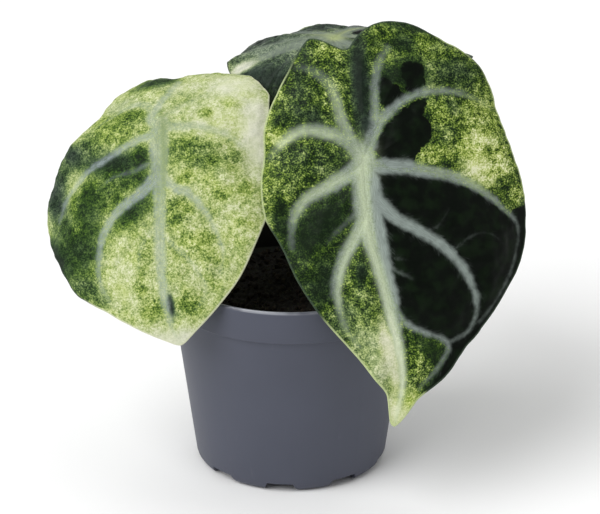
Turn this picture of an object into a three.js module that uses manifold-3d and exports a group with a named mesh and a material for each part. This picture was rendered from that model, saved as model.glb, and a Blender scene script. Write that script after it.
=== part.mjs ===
import * as THREE from 'three';
import { mergeVertices } from 'three/addons/utils/BufferGeometryUtils.js';
import Module from 'manifold-3d';

// Potted variegated alocasia: three shield-shaped leaves on stalks, in a round nursery pot.
// Millimetres, +Z up, +X to the right of the front view and +Y away from it.
// The origin is the centre of the pot's underside.

// Nursery pot
const POT_RIM_RADIUS = 45;
const POT_HEIGHT = 76;
const RIM_BAND_HEIGHT = 12.5;
const RIM_BAND_STEP = 1.3;
const RIM_BAND_DRAFT = 0.3;
const INNER_STEP_DROP = 0.5;
const FOOT_RADIUS = 31.3;
const FOOT_ROUND = 4;
const POT_WALL = 1.1;
const POT_FLOOR = 1.6;
const RAISED_FLOOR = 4.7;
const RAISED_FLOOR_RADIUS = 23.5;
const LIP_ROUND = 0.4;
const POT_SEGMENTS = 56;

// Channels that lift the foot's rim between its feet, each with a drain hole through its roof
const CHANNEL_COUNT = 9;
const CHANNEL_WIDTH_BELOW = 12.5;
const CHANNEL_WIDTH_ABOVE = 9.5;
const CHANNEL_HEIGHT = 3.5;
const CHANNEL_INNER_RADIUS = 25;
const CHANNEL_OUTER_RADIUS = 40;
const FRONT_CHANNEL_ANGLE = -96.5;
const DRAIN_WIDTH = 6;
const DRAIN_LENGTH = 4;
const DRAIN_RADIUS = 28.5;

// Clearance between pieces that touch in the real plant
const SEAT_GAP = 0.3;

// Soil
const SOIL_EDGE_HEIGHT = 61.5;
const SOIL_SHOULDER_HEIGHT = 65.5;
const SOIL_RING_RADII = [37, 32, 27, 22, 17, 12, 7, 0];
const SOIL_SEGMENTS = 36;
const SOIL_HEAP_HEIGHT = 7;
const SOIL_HEAP_SPREAD = 16;
const SOIL_RIPPLE = { height: 0.5, perX: 0.55, perY: 0.48, phaseX: 1, phaseY: -0.6 };

// Short upright rhizome that the leaf stalks grow from
const CROWN_X = 10;
const CROWN_Y = 4;
const CROWN_RADIUS = 7;
const CROWN_TOP = 75;
const CROWN_BOTTOM = 48;
const CROWN_ROUND = 2;
const CROWN_CHAMFER = 0.6;
const CROWN_SEGMENTS = 20;

// Leaf stalks
const STALK_RING_RADIUS = 3.7;
const STALK_RADIUS = 2.1;
const STALK_BASE_SWELL = { radius: 0.9, share: 0.16 };
const STALK_TOP_SWELL = { radius: 0.4, share: 0.08 };
const STALK_SIDES = 12;
const STALK_STEPS = 26;
const STALK_STRAIGHT_END = 8;
const STALK_TOP_GAP = 0.45;

// Leaf blades
const BLADE_THICKNESS = 0.8;
const RIB_DEPTH = 1.3;
const RIB_SPREAD = 2.6;
const VALLEY_SPREAD = 7;
const WAVE_ONSET = 3;
const RAYS = 72;
const RINGS = [0.09, 0.18, 0.28, 0.38, 0.48, 0.58, 0.68, 0.78, 0.87, 0.94, 1];
const ARCH_SPAN = 100;
const LOBE_SPAN = 50;
const SIDE_SPAN = 50;

// Each blade lies in a flat sheet first: u runs across it and v from the stalk to the tip.
// The outline goes round from the tip, and the veins start at the stalk or on the midrib.
// face, tilt and roll turn the sheet, arch and lobe bend it along v, and the curls bend it across u.
const LEAVES = {
  right: {
    hub: [25.6, -34, 130.2],
    face: 5, tilt: 24, roll: 4,
    arch: 14, lobe: 30, curlMinus: 30, curlPlus: 30,
    bulge: 2.2, wave: 0.7, waveCount: 9, wavePhase: 0.6,
    color: 0x35542f,
    outline: [
      [1.5, 95.5], [4, 93], [14, 83], [25, 75], [35, 67.5], [44, 58.5], [55.5, 43.5],
      [59.5, 36], [61.5, 28], [60.5, 20], [58, 7], [55, -4], [53, -17], [48.5, -29.5],
      [41.5, -38], [29, -46.5], [22, -49], [14, -49.5], [7.5, -47.5], [3, -44.5], [-0.5, -41],
      [-4, -41.5], [-12, -45.5], [-15.5, -44], [-22.5, -35], [-32, -18], [-36, 0], [-36, 8],
      [-35.5, 16.5], [-31.5, 28], [-26, 42], [-19.5, 55], [-9, 70], [-3, 81], [-1, 87.5], [0, 93],
    ],
    veins: [
      [[0, 0], [1, 21], [2.5, 40], [4.5, 55], [6, 70], [6, 80], [4.5, 88], [2, 95]],
      [[0, 0], [-2, -14], [-2, -28], [-0.5, -40]],
      [[0, 0], [3.5, -6.5], [5, -14], [6, -24], [9, -33], [14, -41]],
      [[3.5, -7.5], [8, -13.5], [14.5, -18], [22, -21.5], [31, -22.5], [39, -22], [51, -16]],
      [[0, 0], [11, 4], [21.5, 6.5], [31.5, 9.5], [40, 13.5], [48, 19.5], [55, 26], [57, 35]],
      [[1, 16], [9, 22], [16.5, 27], [24, 32.5], [31, 40.5], [35, 48.5], [36.5, 56.5], [35, 63]],
      [[4.5, 52], [11, 60.5], [17, 64], [22.5, 67], [23.5, 71], [20.5, 76]],
      [[0, 0], [-2.5, -5], [-5.5, -12], [-6.5, -21], [-8, -30], [-15.5, -36.5]],
      [[0, 0], [-4.5, -6], [-11, -10], [-17.5, -12], [-23.5, -11.5], [-29, -8], [-33, -4.5]],
      [[0, 1.5], [-5, 4.5], [-13, 8.5], [-20, 11.5], [-25.5, 16], [-28, 22.5], [-28.5, 29]],
      [[1, 19], [-3, 23], [-7.5, 30], [-12, 36.5], [-14, 43], [-14, 51], [-11, 62]],
    ],
  },
  left: {
    hub: [-47, -1, 131],
    face: -20, tilt: 42.5, roll: 17,
    arch: 32, lobe: 101, curlMinus: 38, curlPlus: 24,
    bulge: 1.4, wave: 0.6, waveCount: 8, wavePhase: 2.1,
    color: 0xa9bb7a,
    outline: [
      [0, 81], [3.5, 78.5], [13.5, 70.5], [23.5, 60.5], [30.5, 48.5], [36, 35], [37.5, 26.5],
      [38, 15.5], [39.5, -5.5], [38.5, -13], [31, -24.5], [25.5, -28.5], [19.5, -31], [13.5, -31],
      [8, -29], [4, -26], [1, -25.5], [-3, -28.5], [-8, -31.5], [-14, -31.5], [-19.5, -27.5],
      [-29.5, -15.5], [-39.5, -1], [-49.5, 13], [-53, 20], [-54.5, 27], [-52.5, 34], [-45.5, 49],
      [-42, 55.5], [-37, 60.5], [-24, 68.5], [-10.5, 76.5], [-5, 79.5], [-2, 81],
    ],
    veins: [
      [[0, 0], [0, 11.5], [-1.5, 22], [-3, 32], [-3.5, 45], [-3.5, 58], [-2.5, 70], [-0.5, 80]],
      [[0, 0], [1.5, -7], [3, -14], [2, -25]],
      [[0, -1], [-4.5, -8], [-10, -11], [-15, -10.5], [-21, -8.5], [-28, -5]],
      [[0, 0.5], [-3, 4], [-8, 5], [-15, 7], [-23, 10], [-30, 12], [-39.5, 18], [-46.5, 27]],
      [[-1.5, 20], [-8.5, 25], [-15, 28.5], [-20.5, 32], [-25, 37.5], [-28, 44], [-29.5, 54]],
      [[0, 0], [3, 2], [10, 2.5], [17.5, 4.5], [24, 7.5], [28.5, 11.5], [33, 17]],
      [[0, -2], [4.5, -4], [10, -7], [16.5, -11], [22, -18], [26, -25]],
      [[-1, 21.5], [4, 25], [9, 28], [13, 33.5], [16, 39.5], [18, 45], [19, 51]],
      [[-3.5, 39.5], [-1, 43], [3, 47.5], [7, 52.5], [10, 58.5], [11, 64]],
    ],
  },
  back: {
    hub: [15.3, 28, 153.2],
    face: 200, tilt: 88, roll: -45.5,
    arch: 55, lobe: 98, curlMinus: 21, curlPlus: 41,
    bulge: 1.6, wave: 0.8, waveCount: 9, wavePhase: 4,
    color: 0x5f7463,
    outline: [
      [0, 88], [5, 81], [14, 72], [25, 61], [35, 47], [41.5, 32], [44, 16], [44, 1],
      [41, -13], [35, -26], [26, -35.5], [15.5, -40], [7, -37.5], [0, -30], [-7, -37],
      [-15, -40], [-25, -36], [-34, -27], [-41, -14], [-45, 1], [-46, 16], [-43, 32],
      [-36, 47], [-26, 61], [-14, 73], [-5, 82],
    ],
    veins: [
      [[0, 0], [0.5, 22], [0, 44], [-0.5, 66], [0, 86]],
      [[0, 0], [0, -28]],
      [[0, 0], [7, -9], [13, -20], [17, -32]],
      [[0, 0], [12, -5], [24, -7], [36, -4]],
      [[0, 2], [12, 7], [24, 14], [34, 25], [36, 38]],
      [[0.5, 23], [9, 31], [18, 40], [23, 50], [20, 60]],
      [[0, 44], [7, 52], [13, 60], [14, 68]],
      [[0, 0], [-7, -10], [-12, -21], [-17, -31]],
      [[0, 0], [-12, -6], [-25, -8], [-37, -5]],
      [[0, 3], [-12, 8], [-25, 15], [-35, 27], [-36, 40]],
      [[0.5, 25], [-10, 33], [-19, 42], [-24, 52], [-20, 63]],
      [[0, 47], [-8, 55], [-14, 63], [-14, 70]],
    ],
  },
};

// Where each stalk leaves the crown, as an angle in degrees, and the points that it bends through
const STALKS = {
  right: { leavesAt: -45, through: [[14.5, 0.5, 96], [20, -9, 114]] },
  left: { leavesAt: 195, through: [[3.5, 5.5, 97], [-8, 9.5, 113], [-26, 11.5, 122.5]] },
  back: { leavesAt: 75, through: [[11, 12, 100], [14, 22, 124]] },
};

const wasm = await Module();
wasm.setup();

// A closed mesh as a solid that can be cut
function toSolid(geometry) {
  const bare = geometry.index ? geometry.toNonIndexed() : geometry.clone();
  bare.deleteAttribute('normal');
  bare.deleteAttribute('uv');
  const merged = mergeVertices(bare, 1e-4);
  const corners = merged.index.array;
  const kept = [];
  for (let i = 0; i < corners.length; i += 3) {
    const [a, b, c] = [corners[i], corners[i + 1], corners[i + 2]];
    if (a !== b && b !== c && c !== a) kept.push(a, b, c);
  }
  return new wasm.Manifold(new wasm.Mesh({
    numProp: 3,
    vertProperties: new Float32Array(merged.attributes.position.array),
    triVerts: new Uint32Array(kept),
  }));
}

function toGeometry(solid) {
  const mesh = solid.getMesh();
  return indexedGeometry(Array.from(mesh.vertProperties), Array.from(mesh.triVerts));
}

function indexedGeometry(positions, triangles) {
  const geometry = new THREE.BufferGeometry();
  geometry.setAttribute('position', new THREE.Float32BufferAttribute(positions, 3));
  geometry.setIndex(triangles);
  geometry.computeVertexNormals();
  return geometry;
}

function radians(degrees) {
  return THREE.MathUtils.degToRad(degrees);
}

// Points of an arc in the lathe profile, from one angle to another in degrees
function profileArc(centreRadius, centreHeight, radius, fromDegrees, toDegrees, steps) {
  return Array.from({ length: steps + 1 }, (_, i) => {
    const angle = radians(THREE.MathUtils.lerp(fromDegrees, toDegrees, i / steps));
    return new THREE.Vector2(
      centreRadius + radius * Math.cos(angle),
      centreHeight + radius * Math.sin(angle),
    );
  });
}

// A profile of radius and height, turned round the Z axis
function turned(profile, segments) {
  return new THREE.LatheGeometry(profile, segments).rotateX(Math.PI / 2);
}

// Radius of the pot's outer wall below its rim band
const WALL_FOOT_RADIUS = FOOT_RADIUS + FOOT_ROUND;
const WALL_TOP_RADIUS = POT_RIM_RADIUS - RIM_BAND_DRAFT - RIM_BAND_STEP;
const BAND_BOTTOM = POT_HEIGHT - RIM_BAND_HEIGHT;

function wallRadius(height) {
  return THREE.MathUtils.mapLinear(height, FOOT_ROUND, BAND_BOTTOM, WALL_FOOT_RADIUS, WALL_TOP_RADIUS);
}

function potGeometry() {
  const innerRound = FOOT_ROUND - POT_WALL;
  const stepTop = BAND_BOTTOM + RIM_BAND_STEP;
  const profile = [
    new THREE.Vector2(0, 0),
    ...profileArc(FOOT_RADIUS, FOOT_ROUND, FOOT_ROUND, -90, 0, 5),
    new THREE.Vector2(WALL_TOP_RADIUS, BAND_BOTTOM),
    new THREE.Vector2(POT_RIM_RADIUS - RIM_BAND_DRAFT, BAND_BOTTOM),
    ...profileArc(POT_RIM_RADIUS - LIP_ROUND, POT_HEIGHT - LIP_ROUND, LIP_ROUND, 0, 90, 2),
    new THREE.Vector2(POT_RIM_RADIUS - POT_WALL, POT_HEIGHT - LIP_ROUND),
    new THREE.Vector2(POT_RIM_RADIUS - RIM_BAND_DRAFT - POT_WALL, stepTop),
    new THREE.Vector2(WALL_TOP_RADIUS - POT_WALL, BAND_BOTTOM - INNER_STEP_DROP),
    ...profileArc(FOOT_RADIUS, RAISED_FLOOR + innerRound, innerRound, 0, -90, 3),
    new THREE.Vector2(RAISED_FLOOR_RADIUS + 1, RAISED_FLOOR),
    new THREE.Vector2(RAISED_FLOOR_RADIUS, POT_FLOOR),
    new THREE.Vector2(0, POT_FLOOR),
  ];
  let pot = toSolid(turned(profile, POT_SEGMENTS));
  for (let i = 0; i < CHANNEL_COUNT; i += 1) {
    const turn = radians(FRONT_CHANNEL_ANGLE + (360 * i) / CHANNEL_COUNT);
    pot = pot.subtract(toSolid(channelGeometry().rotateZ(turn)));
    pot = pot.subtract(toSolid(drainGeometry().rotateZ(turn)));
  }
  return toGeometry(pot);
}

// A channel under the rim of the foot, wider below, that runs outwards along X
function channelGeometry() {
  const half = [CHANNEL_WIDTH_BELOW / 2, CHANNEL_WIDTH_ABOVE / 2];
  const section = new THREE.Shape([
    new THREE.Vector2(-half[0], -1),
    new THREE.Vector2(half[0], -1),
    new THREE.Vector2(half[0], 0),
    new THREE.Vector2(half[1], CHANNEL_HEIGHT),
    new THREE.Vector2(-half[1], CHANNEL_HEIGHT),
    new THREE.Vector2(-half[0], 0),
  ]);
  const depth = CHANNEL_OUTER_RADIUS - CHANNEL_INNER_RADIUS;
  const channel = new THREE.ExtrudeGeometry(section, { depth, bevelEnabled: false });
  return channel.rotateX(Math.PI / 2).rotateZ(Math.PI / 2).translate(CHANNEL_INNER_RADIUS, 0, 0);
}

function drainGeometry() {
  const drain = new THREE.BoxGeometry(DRAIN_LENGTH, DRAIN_WIDTH, 2 * (RAISED_FLOOR + 1));
  return drain.translate(DRAIN_RADIUS, 0, 0);
}

// Height of the heap of soil round the crown, with low ripples
function heapAt(x, y) {
  const distance = Math.hypot(x - CROWN_X, y - CROWN_Y);
  const heap = SOIL_HEAP_HEIGHT * Math.exp(-((distance / SOIL_HEAP_SPREAD) ** 2));
  const { height, perX, perY, phaseX, phaseY } = SOIL_RIPPLE;
  return heap + height * Math.sin(x * perX + phaseX) * Math.cos(y * perY + phaseY);
}

function soilGeometry() {
  const innerRound = FOOT_ROUND - POT_WALL;
  const edgeRadius = wallRadius(SOIL_EDGE_HEIGHT) - POT_WALL - SEAT_GAP;
  const profile = [
    new THREE.Vector2(0, POT_FLOOR + SEAT_GAP),
    new THREE.Vector2(RAISED_FLOOR_RADIUS - SEAT_GAP, POT_FLOOR + SEAT_GAP),
    new THREE.Vector2(RAISED_FLOOR_RADIUS + 1 - SEAT_GAP, RAISED_FLOOR + SEAT_GAP),
    ...profileArc(FOOT_RADIUS, RAISED_FLOOR + innerRound, innerRound - SEAT_GAP, -90, 0, 3),
    new THREE.Vector2(edgeRadius, SOIL_EDGE_HEIGHT),
    ...SOIL_RING_RADII.map((radius) => new THREE.Vector2(radius, SOIL_SHOULDER_HEIGHT)),
  ];
  const soil = turned(profile, SOIL_SEGMENTS);
  const position = soil.attributes.position;
  for (let i = 0; i < position.count; i += 1) {
    if (position.getZ(i) > (SOIL_EDGE_HEIGHT + SOIL_SHOULDER_HEIGHT) / 2) {
      position.setZ(i, position.getZ(i) + heapAt(position.getX(i), position.getY(i)));
    }
  }
  const holeLength = 2 * (CROWN_TOP - CROWN_BOTTOM);
  const hole = new THREE.CylinderGeometry(
    CROWN_RADIUS + SEAT_GAP, CROWN_RADIUS + SEAT_GAP, holeLength, CROWN_SEGMENTS,
  ).rotateX(Math.PI / 2);
  hole.translate(CROWN_X, CROWN_Y, CROWN_BOTTOM - SEAT_GAP + holeLength / 2);
  return toGeometry(toSolid(soil).subtract(toSolid(hole)));
}

function crownGeometry() {
  const profile = [
    new THREE.Vector2(0, CROWN_BOTTOM),
    ...profileArc(CROWN_RADIUS - CROWN_ROUND, CROWN_BOTTOM + CROWN_ROUND, CROWN_ROUND, -90, 0, 3),
    new THREE.Vector2(CROWN_RADIUS, CROWN_TOP - CROWN_CHAMFER),
    new THREE.Vector2(CROWN_RADIUS - CROWN_CHAMFER, CROWN_TOP),
    new THREE.Vector2(0, CROWN_TOP),
  ];
  return turned(profile, CROWN_SEGMENTS).translate(CROWN_X, CROWN_Y, 0);
}

// The three directions of a blade at its stalk: across it, towards its tip, and out of its face
function bladeAxes({ face, tilt, roll }) {
  const [f, t, r] = [radians(face), radians(tilt), radians(roll)];
  const level = new THREE.Vector3(Math.cos(f), Math.sin(f), 0);
  const downhill = new THREE.Vector3(Math.sin(f) * Math.sin(t), -Math.cos(f) * Math.sin(t), -Math.cos(t));
  const normal = new THREE.Vector3(Math.sin(f) * Math.cos(t), -Math.cos(f) * Math.cos(t), Math.sin(t));
  return {
    across: level.clone().multiplyScalar(Math.cos(r)).addScaledVector(downhill, -Math.sin(r)),
    toTip: downhill.clone().multiplyScalar(Math.cos(r)).addScaledVector(level, Math.sin(r)),
    normal,
  };
}

// Where the flat point (u, v) comes to lie when the blade is bent, raised by lift along its normal
function bladePoint(leaf, axes, u, v, lift) {
  const along = v > 0 ? radians(leaf.arch) / ARCH_SPAN : radians(leaf.lobe) / LOBE_SPAN;
  const aside = radians(u > 0 ? leaf.curlPlus : leaf.curlMinus) / SIDE_SPAN;
  const spine = new THREE.Vector3(...leaf.hub)
    .addScaledVector(axes.toTip, Math.sin(along * v) / along)
    .addScaledVector(axes.normal, (Math.cos(along * v) - 1) / along);
  const spineNormal = axes.normal.clone().multiplyScalar(Math.cos(along * v))
    .addScaledVector(axes.toTip, Math.sin(along * v));
  const localNormal = spineNormal.clone().multiplyScalar(Math.cos(aside * u))
    .addScaledVector(axes.across, Math.sin(aside * u));
  return spine
    .addScaledVector(axes.across, Math.sin(aside * u) / aside)
    .addScaledVector(spineNormal, (Math.cos(aside * u) - 1) / aside)
    .addScaledVector(localNormal, lift);
}

function distanceToVein(u, v, vein) {
  const point = new THREE.Vector3(u, v, 0);
  const nearest = new THREE.Vector3();
  const segment = new THREE.Line3();
  let least = Infinity;
  for (let i = 1; i < vein.length; i += 1) {
    segment.start.set(...vein[i - 1], 0);
    segment.end.set(...vein[i], 0);
    segment.closestPointToPoint(point, true, nearest);
    least = Math.min(least, nearest.distanceTo(point));
  }
  return least;
}

// The blade swells between its veins, and its margin waves a little
function bladeRelief(leaf, u, v, veinDistance, reach) {
  const swell = leaf.bulge * (1 - Math.exp(-((veinDistance / VALLEY_SPREAD) ** 2)));
  const turn = Math.atan2(u, v) * leaf.waveCount + leaf.wavePhase;
  return swell + leaf.wave * reach ** WAVE_ONSET * Math.sin(turn);
}

// The ribs stand out of the underside and thin out towards the margin
function bladeDepth(veinDistance, reach) {
  const rib = RIB_DEPTH * (1 - reach) * Math.exp(-((veinDistance / RIB_SPREAD) ** 2));
  return BLADE_THICKNESS + rib;
}

function leafGeometry(leaf) {
  const axes = bladeAxes(leaf);
  const corners = leaf.outline.map(([u, v]) => new THREE.Vector3(u, v, 0));
  const rim = new THREE.CatmullRomCurve3(corners, true, 'catmullrom', 0.5)
    .getSpacedPoints(RAYS).slice(0, RAYS);
  const upper = [];
  const lower = [];
  const addPoint = (u, v, reach) => {
    const veinDistance = Math.min(...leaf.veins.map((vein) => distanceToVein(u, v, vein)));
    const relief = bladeRelief(leaf, u, v, veinDistance, reach);
    upper.push(bladePoint(leaf, axes, u, v, relief));
    lower.push(bladePoint(leaf, axes, u, v, relief - bladeDepth(veinDistance, reach)));
  };
  addPoint(0, 0, 0);
  for (const reach of RINGS) {
    for (const point of rim) addPoint(point.x * reach, point.y * reach, reach);
  }
  const layer = upper.length;
  const index = (ring, ray) => 1 + ring * RAYS + (ray % RAYS);
  const triangles = [];
  const addBoth = (a, b, c) => {
    triangles.push(a, b, c, layer + a, layer + c, layer + b);
  };
  const last = RINGS.length - 1;
  for (let ray = 0; ray < RAYS; ray += 1) {
    addBoth(0, index(0, ray), index(0, ray + 1));
    for (let ring = 0; ring < last; ring += 1) {
      const [a, b] = [index(ring, ray), index(ring, ray + 1)];
      const [c, d] = [index(ring + 1, ray), index(ring + 1, ray + 1)];
      addBoth(a, c, d);
      addBoth(a, d, b);
    }
    const [a, b] = [index(last, ray), index(last, ray + 1)];
    triangles.push(a, layer + a, layer + b, a, layer + b, b);
  }
  const positions = [...upper, ...lower].flatMap((point) => point.toArray());
  return indexedGeometry(positions, triangles);
}

// The stalk is stout where it leaves the crown, slim along its length and a little wider at the blade
function stalkRadius(t) {
  const base = STALK_BASE_SWELL.radius * Math.exp(-((t / STALK_BASE_SWELL.share) ** 2));
  const top = STALK_TOP_SWELL.radius * Math.exp(-(((1 - t) / STALK_TOP_SWELL.share) ** 2));
  return STALK_RADIUS + base + top;
}

// From the crown's top, up and over to the back of the blade, which it meets at a right angle
function stalkCurve(leaf, stalk) {
  const { normal } = bladeAxes(leaf);
  const angle = radians(stalk.leavesAt);
  const start = new THREE.Vector3(
    CROWN_X + STALK_RING_RADIUS * Math.cos(angle),
    CROWN_Y + STALK_RING_RADIUS * Math.sin(angle),
    CROWN_TOP + SEAT_GAP,
  );
  const depth = BLADE_THICKNESS + RIB_DEPTH + STALK_TOP_GAP;
  const end = new THREE.Vector3(...leaf.hub).addScaledVector(normal, -depth);
  const beforeEnd = end.clone().addScaledVector(normal, -STALK_STRAIGHT_END);
  const upright = start.clone().setZ(start.z + STALK_STRAIGHT_END);
  const middle = stalk.through.map((point) => new THREE.Vector3(...point));
  return new THREE.CatmullRomCurve3([start, upright, ...middle, beforeEnd, end]);
}

function stalkGeometry(curve) {
  const frames = curve.computeFrenetFrames(STALK_STEPS, false);
  const positions = [];
  const triangles = [];
  for (let step = 0; step <= STALK_STEPS; step += 1) {
    const t = step / STALK_STEPS;
    const centre = curve.getPointAt(t);
    for (let side = 0; side < STALK_SIDES; side += 1) {
      const angle = (2 * Math.PI * side) / STALK_SIDES;
      const point = centre.clone()
        .addScaledVector(frames.normals[step], stalkRadius(t) * Math.cos(angle))
        .addScaledVector(frames.binormals[step], stalkRadius(t) * Math.sin(angle));
      positions.push(...point.toArray());
    }
  }
  const foot = positions.length / 3;
  positions.push(...curve.getPointAt(0).toArray(), ...curve.getPointAt(1).toArray());
  const lastRing = STALK_STEPS * STALK_SIDES;
  for (let side = 0; side < STALK_SIDES; side += 1) {
    const next = (side + 1) % STALK_SIDES;
    for (let ring = 0; ring < lastRing; ring += STALK_SIDES) {
      const above = ring + STALK_SIDES;
      triangles.push(ring + side, ring + next, above + next, ring + side, above + next, above + side);
    }
    triangles.push(foot, next, side, foot + 1, lastRing + side, lastRing + next);
  }
  return indexedGeometry(positions, triangles);
}

function piece(name, geometry, color, roughness) {
  const material = new THREE.MeshStandardMaterial({ color, roughness, metalness: 0 });
  const mesh = new THREE.Mesh(geometry, material);
  mesh.name = name;
  return mesh;
}

const plant = new THREE.Group();
plant.add(piece('pot', potGeometry(), 0x565a66, 0.6));
plant.add(piece('soil', soilGeometry(), 0x1d1815, 1));
plant.add(piece('rhizome', crownGeometry(), 0x6b5a3e, 0.9));
for (const [side, leaf] of Object.entries(LEAVES)) {
  plant.add(piece(`petiole_${side}`, stalkGeometry(stalkCurve(leaf, STALKS[side])), 0x9db56a, 0.5));
  plant.add(piece(`leaf_${side}`, leafGeometry(leaf), leaf.color, 0.45));
}

export default plant;
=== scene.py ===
import math

import bpy
import numpy as np
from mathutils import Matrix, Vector, noise


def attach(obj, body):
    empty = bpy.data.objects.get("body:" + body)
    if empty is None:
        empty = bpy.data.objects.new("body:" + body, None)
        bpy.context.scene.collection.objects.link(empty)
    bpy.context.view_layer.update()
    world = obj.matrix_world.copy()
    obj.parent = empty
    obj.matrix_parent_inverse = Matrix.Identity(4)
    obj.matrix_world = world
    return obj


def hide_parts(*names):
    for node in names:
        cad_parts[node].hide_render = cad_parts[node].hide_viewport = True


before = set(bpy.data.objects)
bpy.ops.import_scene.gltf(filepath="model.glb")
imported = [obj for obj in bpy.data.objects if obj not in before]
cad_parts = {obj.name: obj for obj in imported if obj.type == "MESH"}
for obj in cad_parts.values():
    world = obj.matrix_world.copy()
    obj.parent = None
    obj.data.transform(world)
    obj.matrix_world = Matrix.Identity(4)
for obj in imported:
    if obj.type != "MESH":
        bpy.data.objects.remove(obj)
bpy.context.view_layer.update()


# Nursery pot
# One moulded piece of slate-grey polypropylene, 9 cm across its rim. A deep band stiffens the rim, and
# channels between the feet let water out of nine drain holes.
MM = 0.001
POT_RIM_RADIUS = 45
POT_HEIGHT = 76
RIM_BAND_HEIGHT = 12.5
RIM_BAND_STEP = 1.3
RIM_BAND_DRAFT = 0.3
FOOT_WALL_RADIUS = 34.8
FOOT_ROUND = 4
POT_WALL = 1.1
POT_FLOOR = 1.6
RAISED_FLOOR = 4.7
RAISED_FLOOR_RADIUS = 23.5
CHANNEL_COUNT = 9
CHANNEL_WIDTH_BELOW = 12.5
CHANNEL_WIDTH_ABOVE = 9.5
CHANNEL_HEIGHT = 3.5
CHANNEL_REACH = (25, 40)
FRONT_CHANNEL_ANGLE = -96.5
DRAIN_WIDTH = 6
DRAIN_REACH = (26.5, 30.5)
LIP_ROUND = 0.45
STEP_ROUND = 0.5
CREASE_ROUND = 0.4
RAISED_FLOOR_SLOPE = 1
CUTTER_EXCESS = 1
POT_SEGMENTS = 180
POT_CREASE_DEGREES = 32
SLATES = [(71, 74, 86), (79, 82, 95)]
SCUFFED_SLATE = (118, 121, 131)
RUBBED_AND_HIGHLIT_SLATE = (172, 175, 182)
INNER_WALL_SHADE = (20, 19, 18)
CLOUD_SIZE = 22
SCUFF_SIZE = 4
SCUFF_STRETCH = (1, 1, 0.25)
SCUFF_RANGE = (0.6, 0.78)
SCUFF_STRENGTH = 0.16
INNER_SHADE_RANGE = (-0.5, -0.9)
LIP_TOP_FROM = 1.2
LIP_TOP_FULLY = 0.6
RUBBED_AND_HIGHLIT_SIZE = 12
RUBBED_AND_HIGHLIT_RANGE = (0.38, 0.6)
RUBBED_AND_HIGHLIT_STRENGTH = 0.5
SLATE_ROUGHNESS = 0.42
CLOUD_ROUGHNESS = 0.16
SCUFF_ROUGHNESS = 0.12
LIP_ROUGHNESS = -0.22
PEBBLE_SIZE = 0.35
PEBBLE_DEPTH = 0.05


# A colour input: a socket as it is, or a colour as a screen shows it, from 0 to 255, made linear
def colour_input(colour):
    if isinstance(colour, bpy.types.NodeSocket):
        return colour
    parts = np.array(colour) / 255
    linear = np.where(parts <= 0.04045, parts / 12.92, ((parts + 0.055) / 1.055) ** 2.4)
    return (*linear.tolist(), 1.0)


# A shader node, whose inputs are plain values or sockets to link from
def add_node(tree, kind, inputs=None, **settings):
    node = tree.nodes.new(kind)
    for setting, value in settings.items():
        setattr(node, setting, value)
    for socket, value in (inputs or {}).items():
        if isinstance(value, bpy.types.NodeSocket):
            tree.links.new(value, node.inputs[socket])
        else:
            node.inputs[socket].default_value = value
    return node


def calculate(tree, operation, *values, clamp=False):
    inputs = dict(enumerate(values))
    return add_node(tree, "ShaderNodeMath", inputs, operation=operation, use_clamp=clamp).outputs[0]


def calculate_vector(tree, operation, *vectors, output=0):
    inputs = dict(enumerate(vectors))
    return add_node(tree, "ShaderNodeVectorMath", inputs, operation=operation).outputs[output]


def object_place(tree):
    return add_node(tree, "ShaderNodeTexCoord").outputs["Object"]


# Noise from 0 to 1 whose lumps are about the given size, in the units of its vector
def noise_value(tree, vector, size, detail=2.0, roughness=0.5):
    inputs = {"Vector": vector, "Scale": 1 / size, "Detail": detail, "Roughness": roughness}
    return add_node(tree, "ShaderNodeTexNoise", inputs).outputs["Fac"]


# Rises smoothly from 0 to 1 while the value goes from low to high, or falls where low is above high
def smooth_step(tree, value, low, high):
    inputs = {"Value": value, "From Min": min(low, high), "From Max": max(low, high)}
    step = add_node(tree, "ShaderNodeMapRange", inputs, interpolation_type="SMOOTHSTEP").outputs[0]
    return step if low < high else calculate(tree, "SUBTRACT", 1.0, step)


def mix_colours(tree, factor, first, second, blend="MIX"):
    inputs = {0: factor, 6: colour_input(first), 7: colour_input(second)}
    return add_node(tree, "ShaderNodeMix", inputs, data_type="RGBA", blend_type=blend).outputs[2]


def colour_ramp(tree, factor, stops):
    ramp = add_node(tree, "ShaderNodeValToRGB", {0: factor})
    elements = ramp.color_ramp.elements
    while len(elements) < len(stops):
        elements.new(1.0)
    for element, (position, colour) in zip(elements, stops):
        element.position = position
        element.color = colour_input(colour)
    return ramp.outputs[0]


# Links a bump to the shader's normal, with its depth in mm
def add_bump(tree, shader, height, strength, depth):
    inputs = {"Height": height, "Strength": strength, "Distance": depth * MM}
    tree.links.new(add_node(tree, "ShaderNodeBump", inputs).outputs[0], shader["Normal"])


def new_group(name, inputs, outputs):
    tree = bpy.data.node_groups.new(name, "ShaderNodeTree")
    for label, kind in inputs.items():
        tree.interface.new_socket(label, in_out="INPUT", socket_type=f"NodeSocket{kind}")
    for label, kind in outputs.items():
        tree.interface.new_socket(label, in_out="OUTPUT", socket_type=f"NodeSocket{kind}")
    return tree, tree.nodes.new("NodeGroupInput").outputs, tree.nodes.new("NodeGroupOutput").inputs


def new_material(name, **shader_values):
    material = bpy.data.materials.new(name)
    material.use_nodes = True
    tree = material.node_tree
    shader = tree.nodes["Principled BSDF"]
    for socket, value in shader_values.items():
        shader.inputs[socket.replace("_", " ")].default_value = value
    return material, tree, shader.inputs


def new_mesh(name, points, faces):
    mesh = bpy.data.meshes.new(name)
    mesh.from_pydata((np.asarray(points) * MM).tolist(), [], faces)
    mesh.update()
    return mesh


def new_object(name, mesh, *materials):
    piece = bpy.data.objects.new(name, mesh)
    bpy.context.scene.collection.objects.link(piece)
    for material in materials:
        mesh.materials.append(material)
    return piece


def shade_smooth(mesh, crease_degrees):
    mesh.polygons.foreach_set("use_smooth", np.ones(len(mesh.polygons), bool))
    mesh.set_sharp_from_angle(angle=math.radians(crease_degrees))


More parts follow.
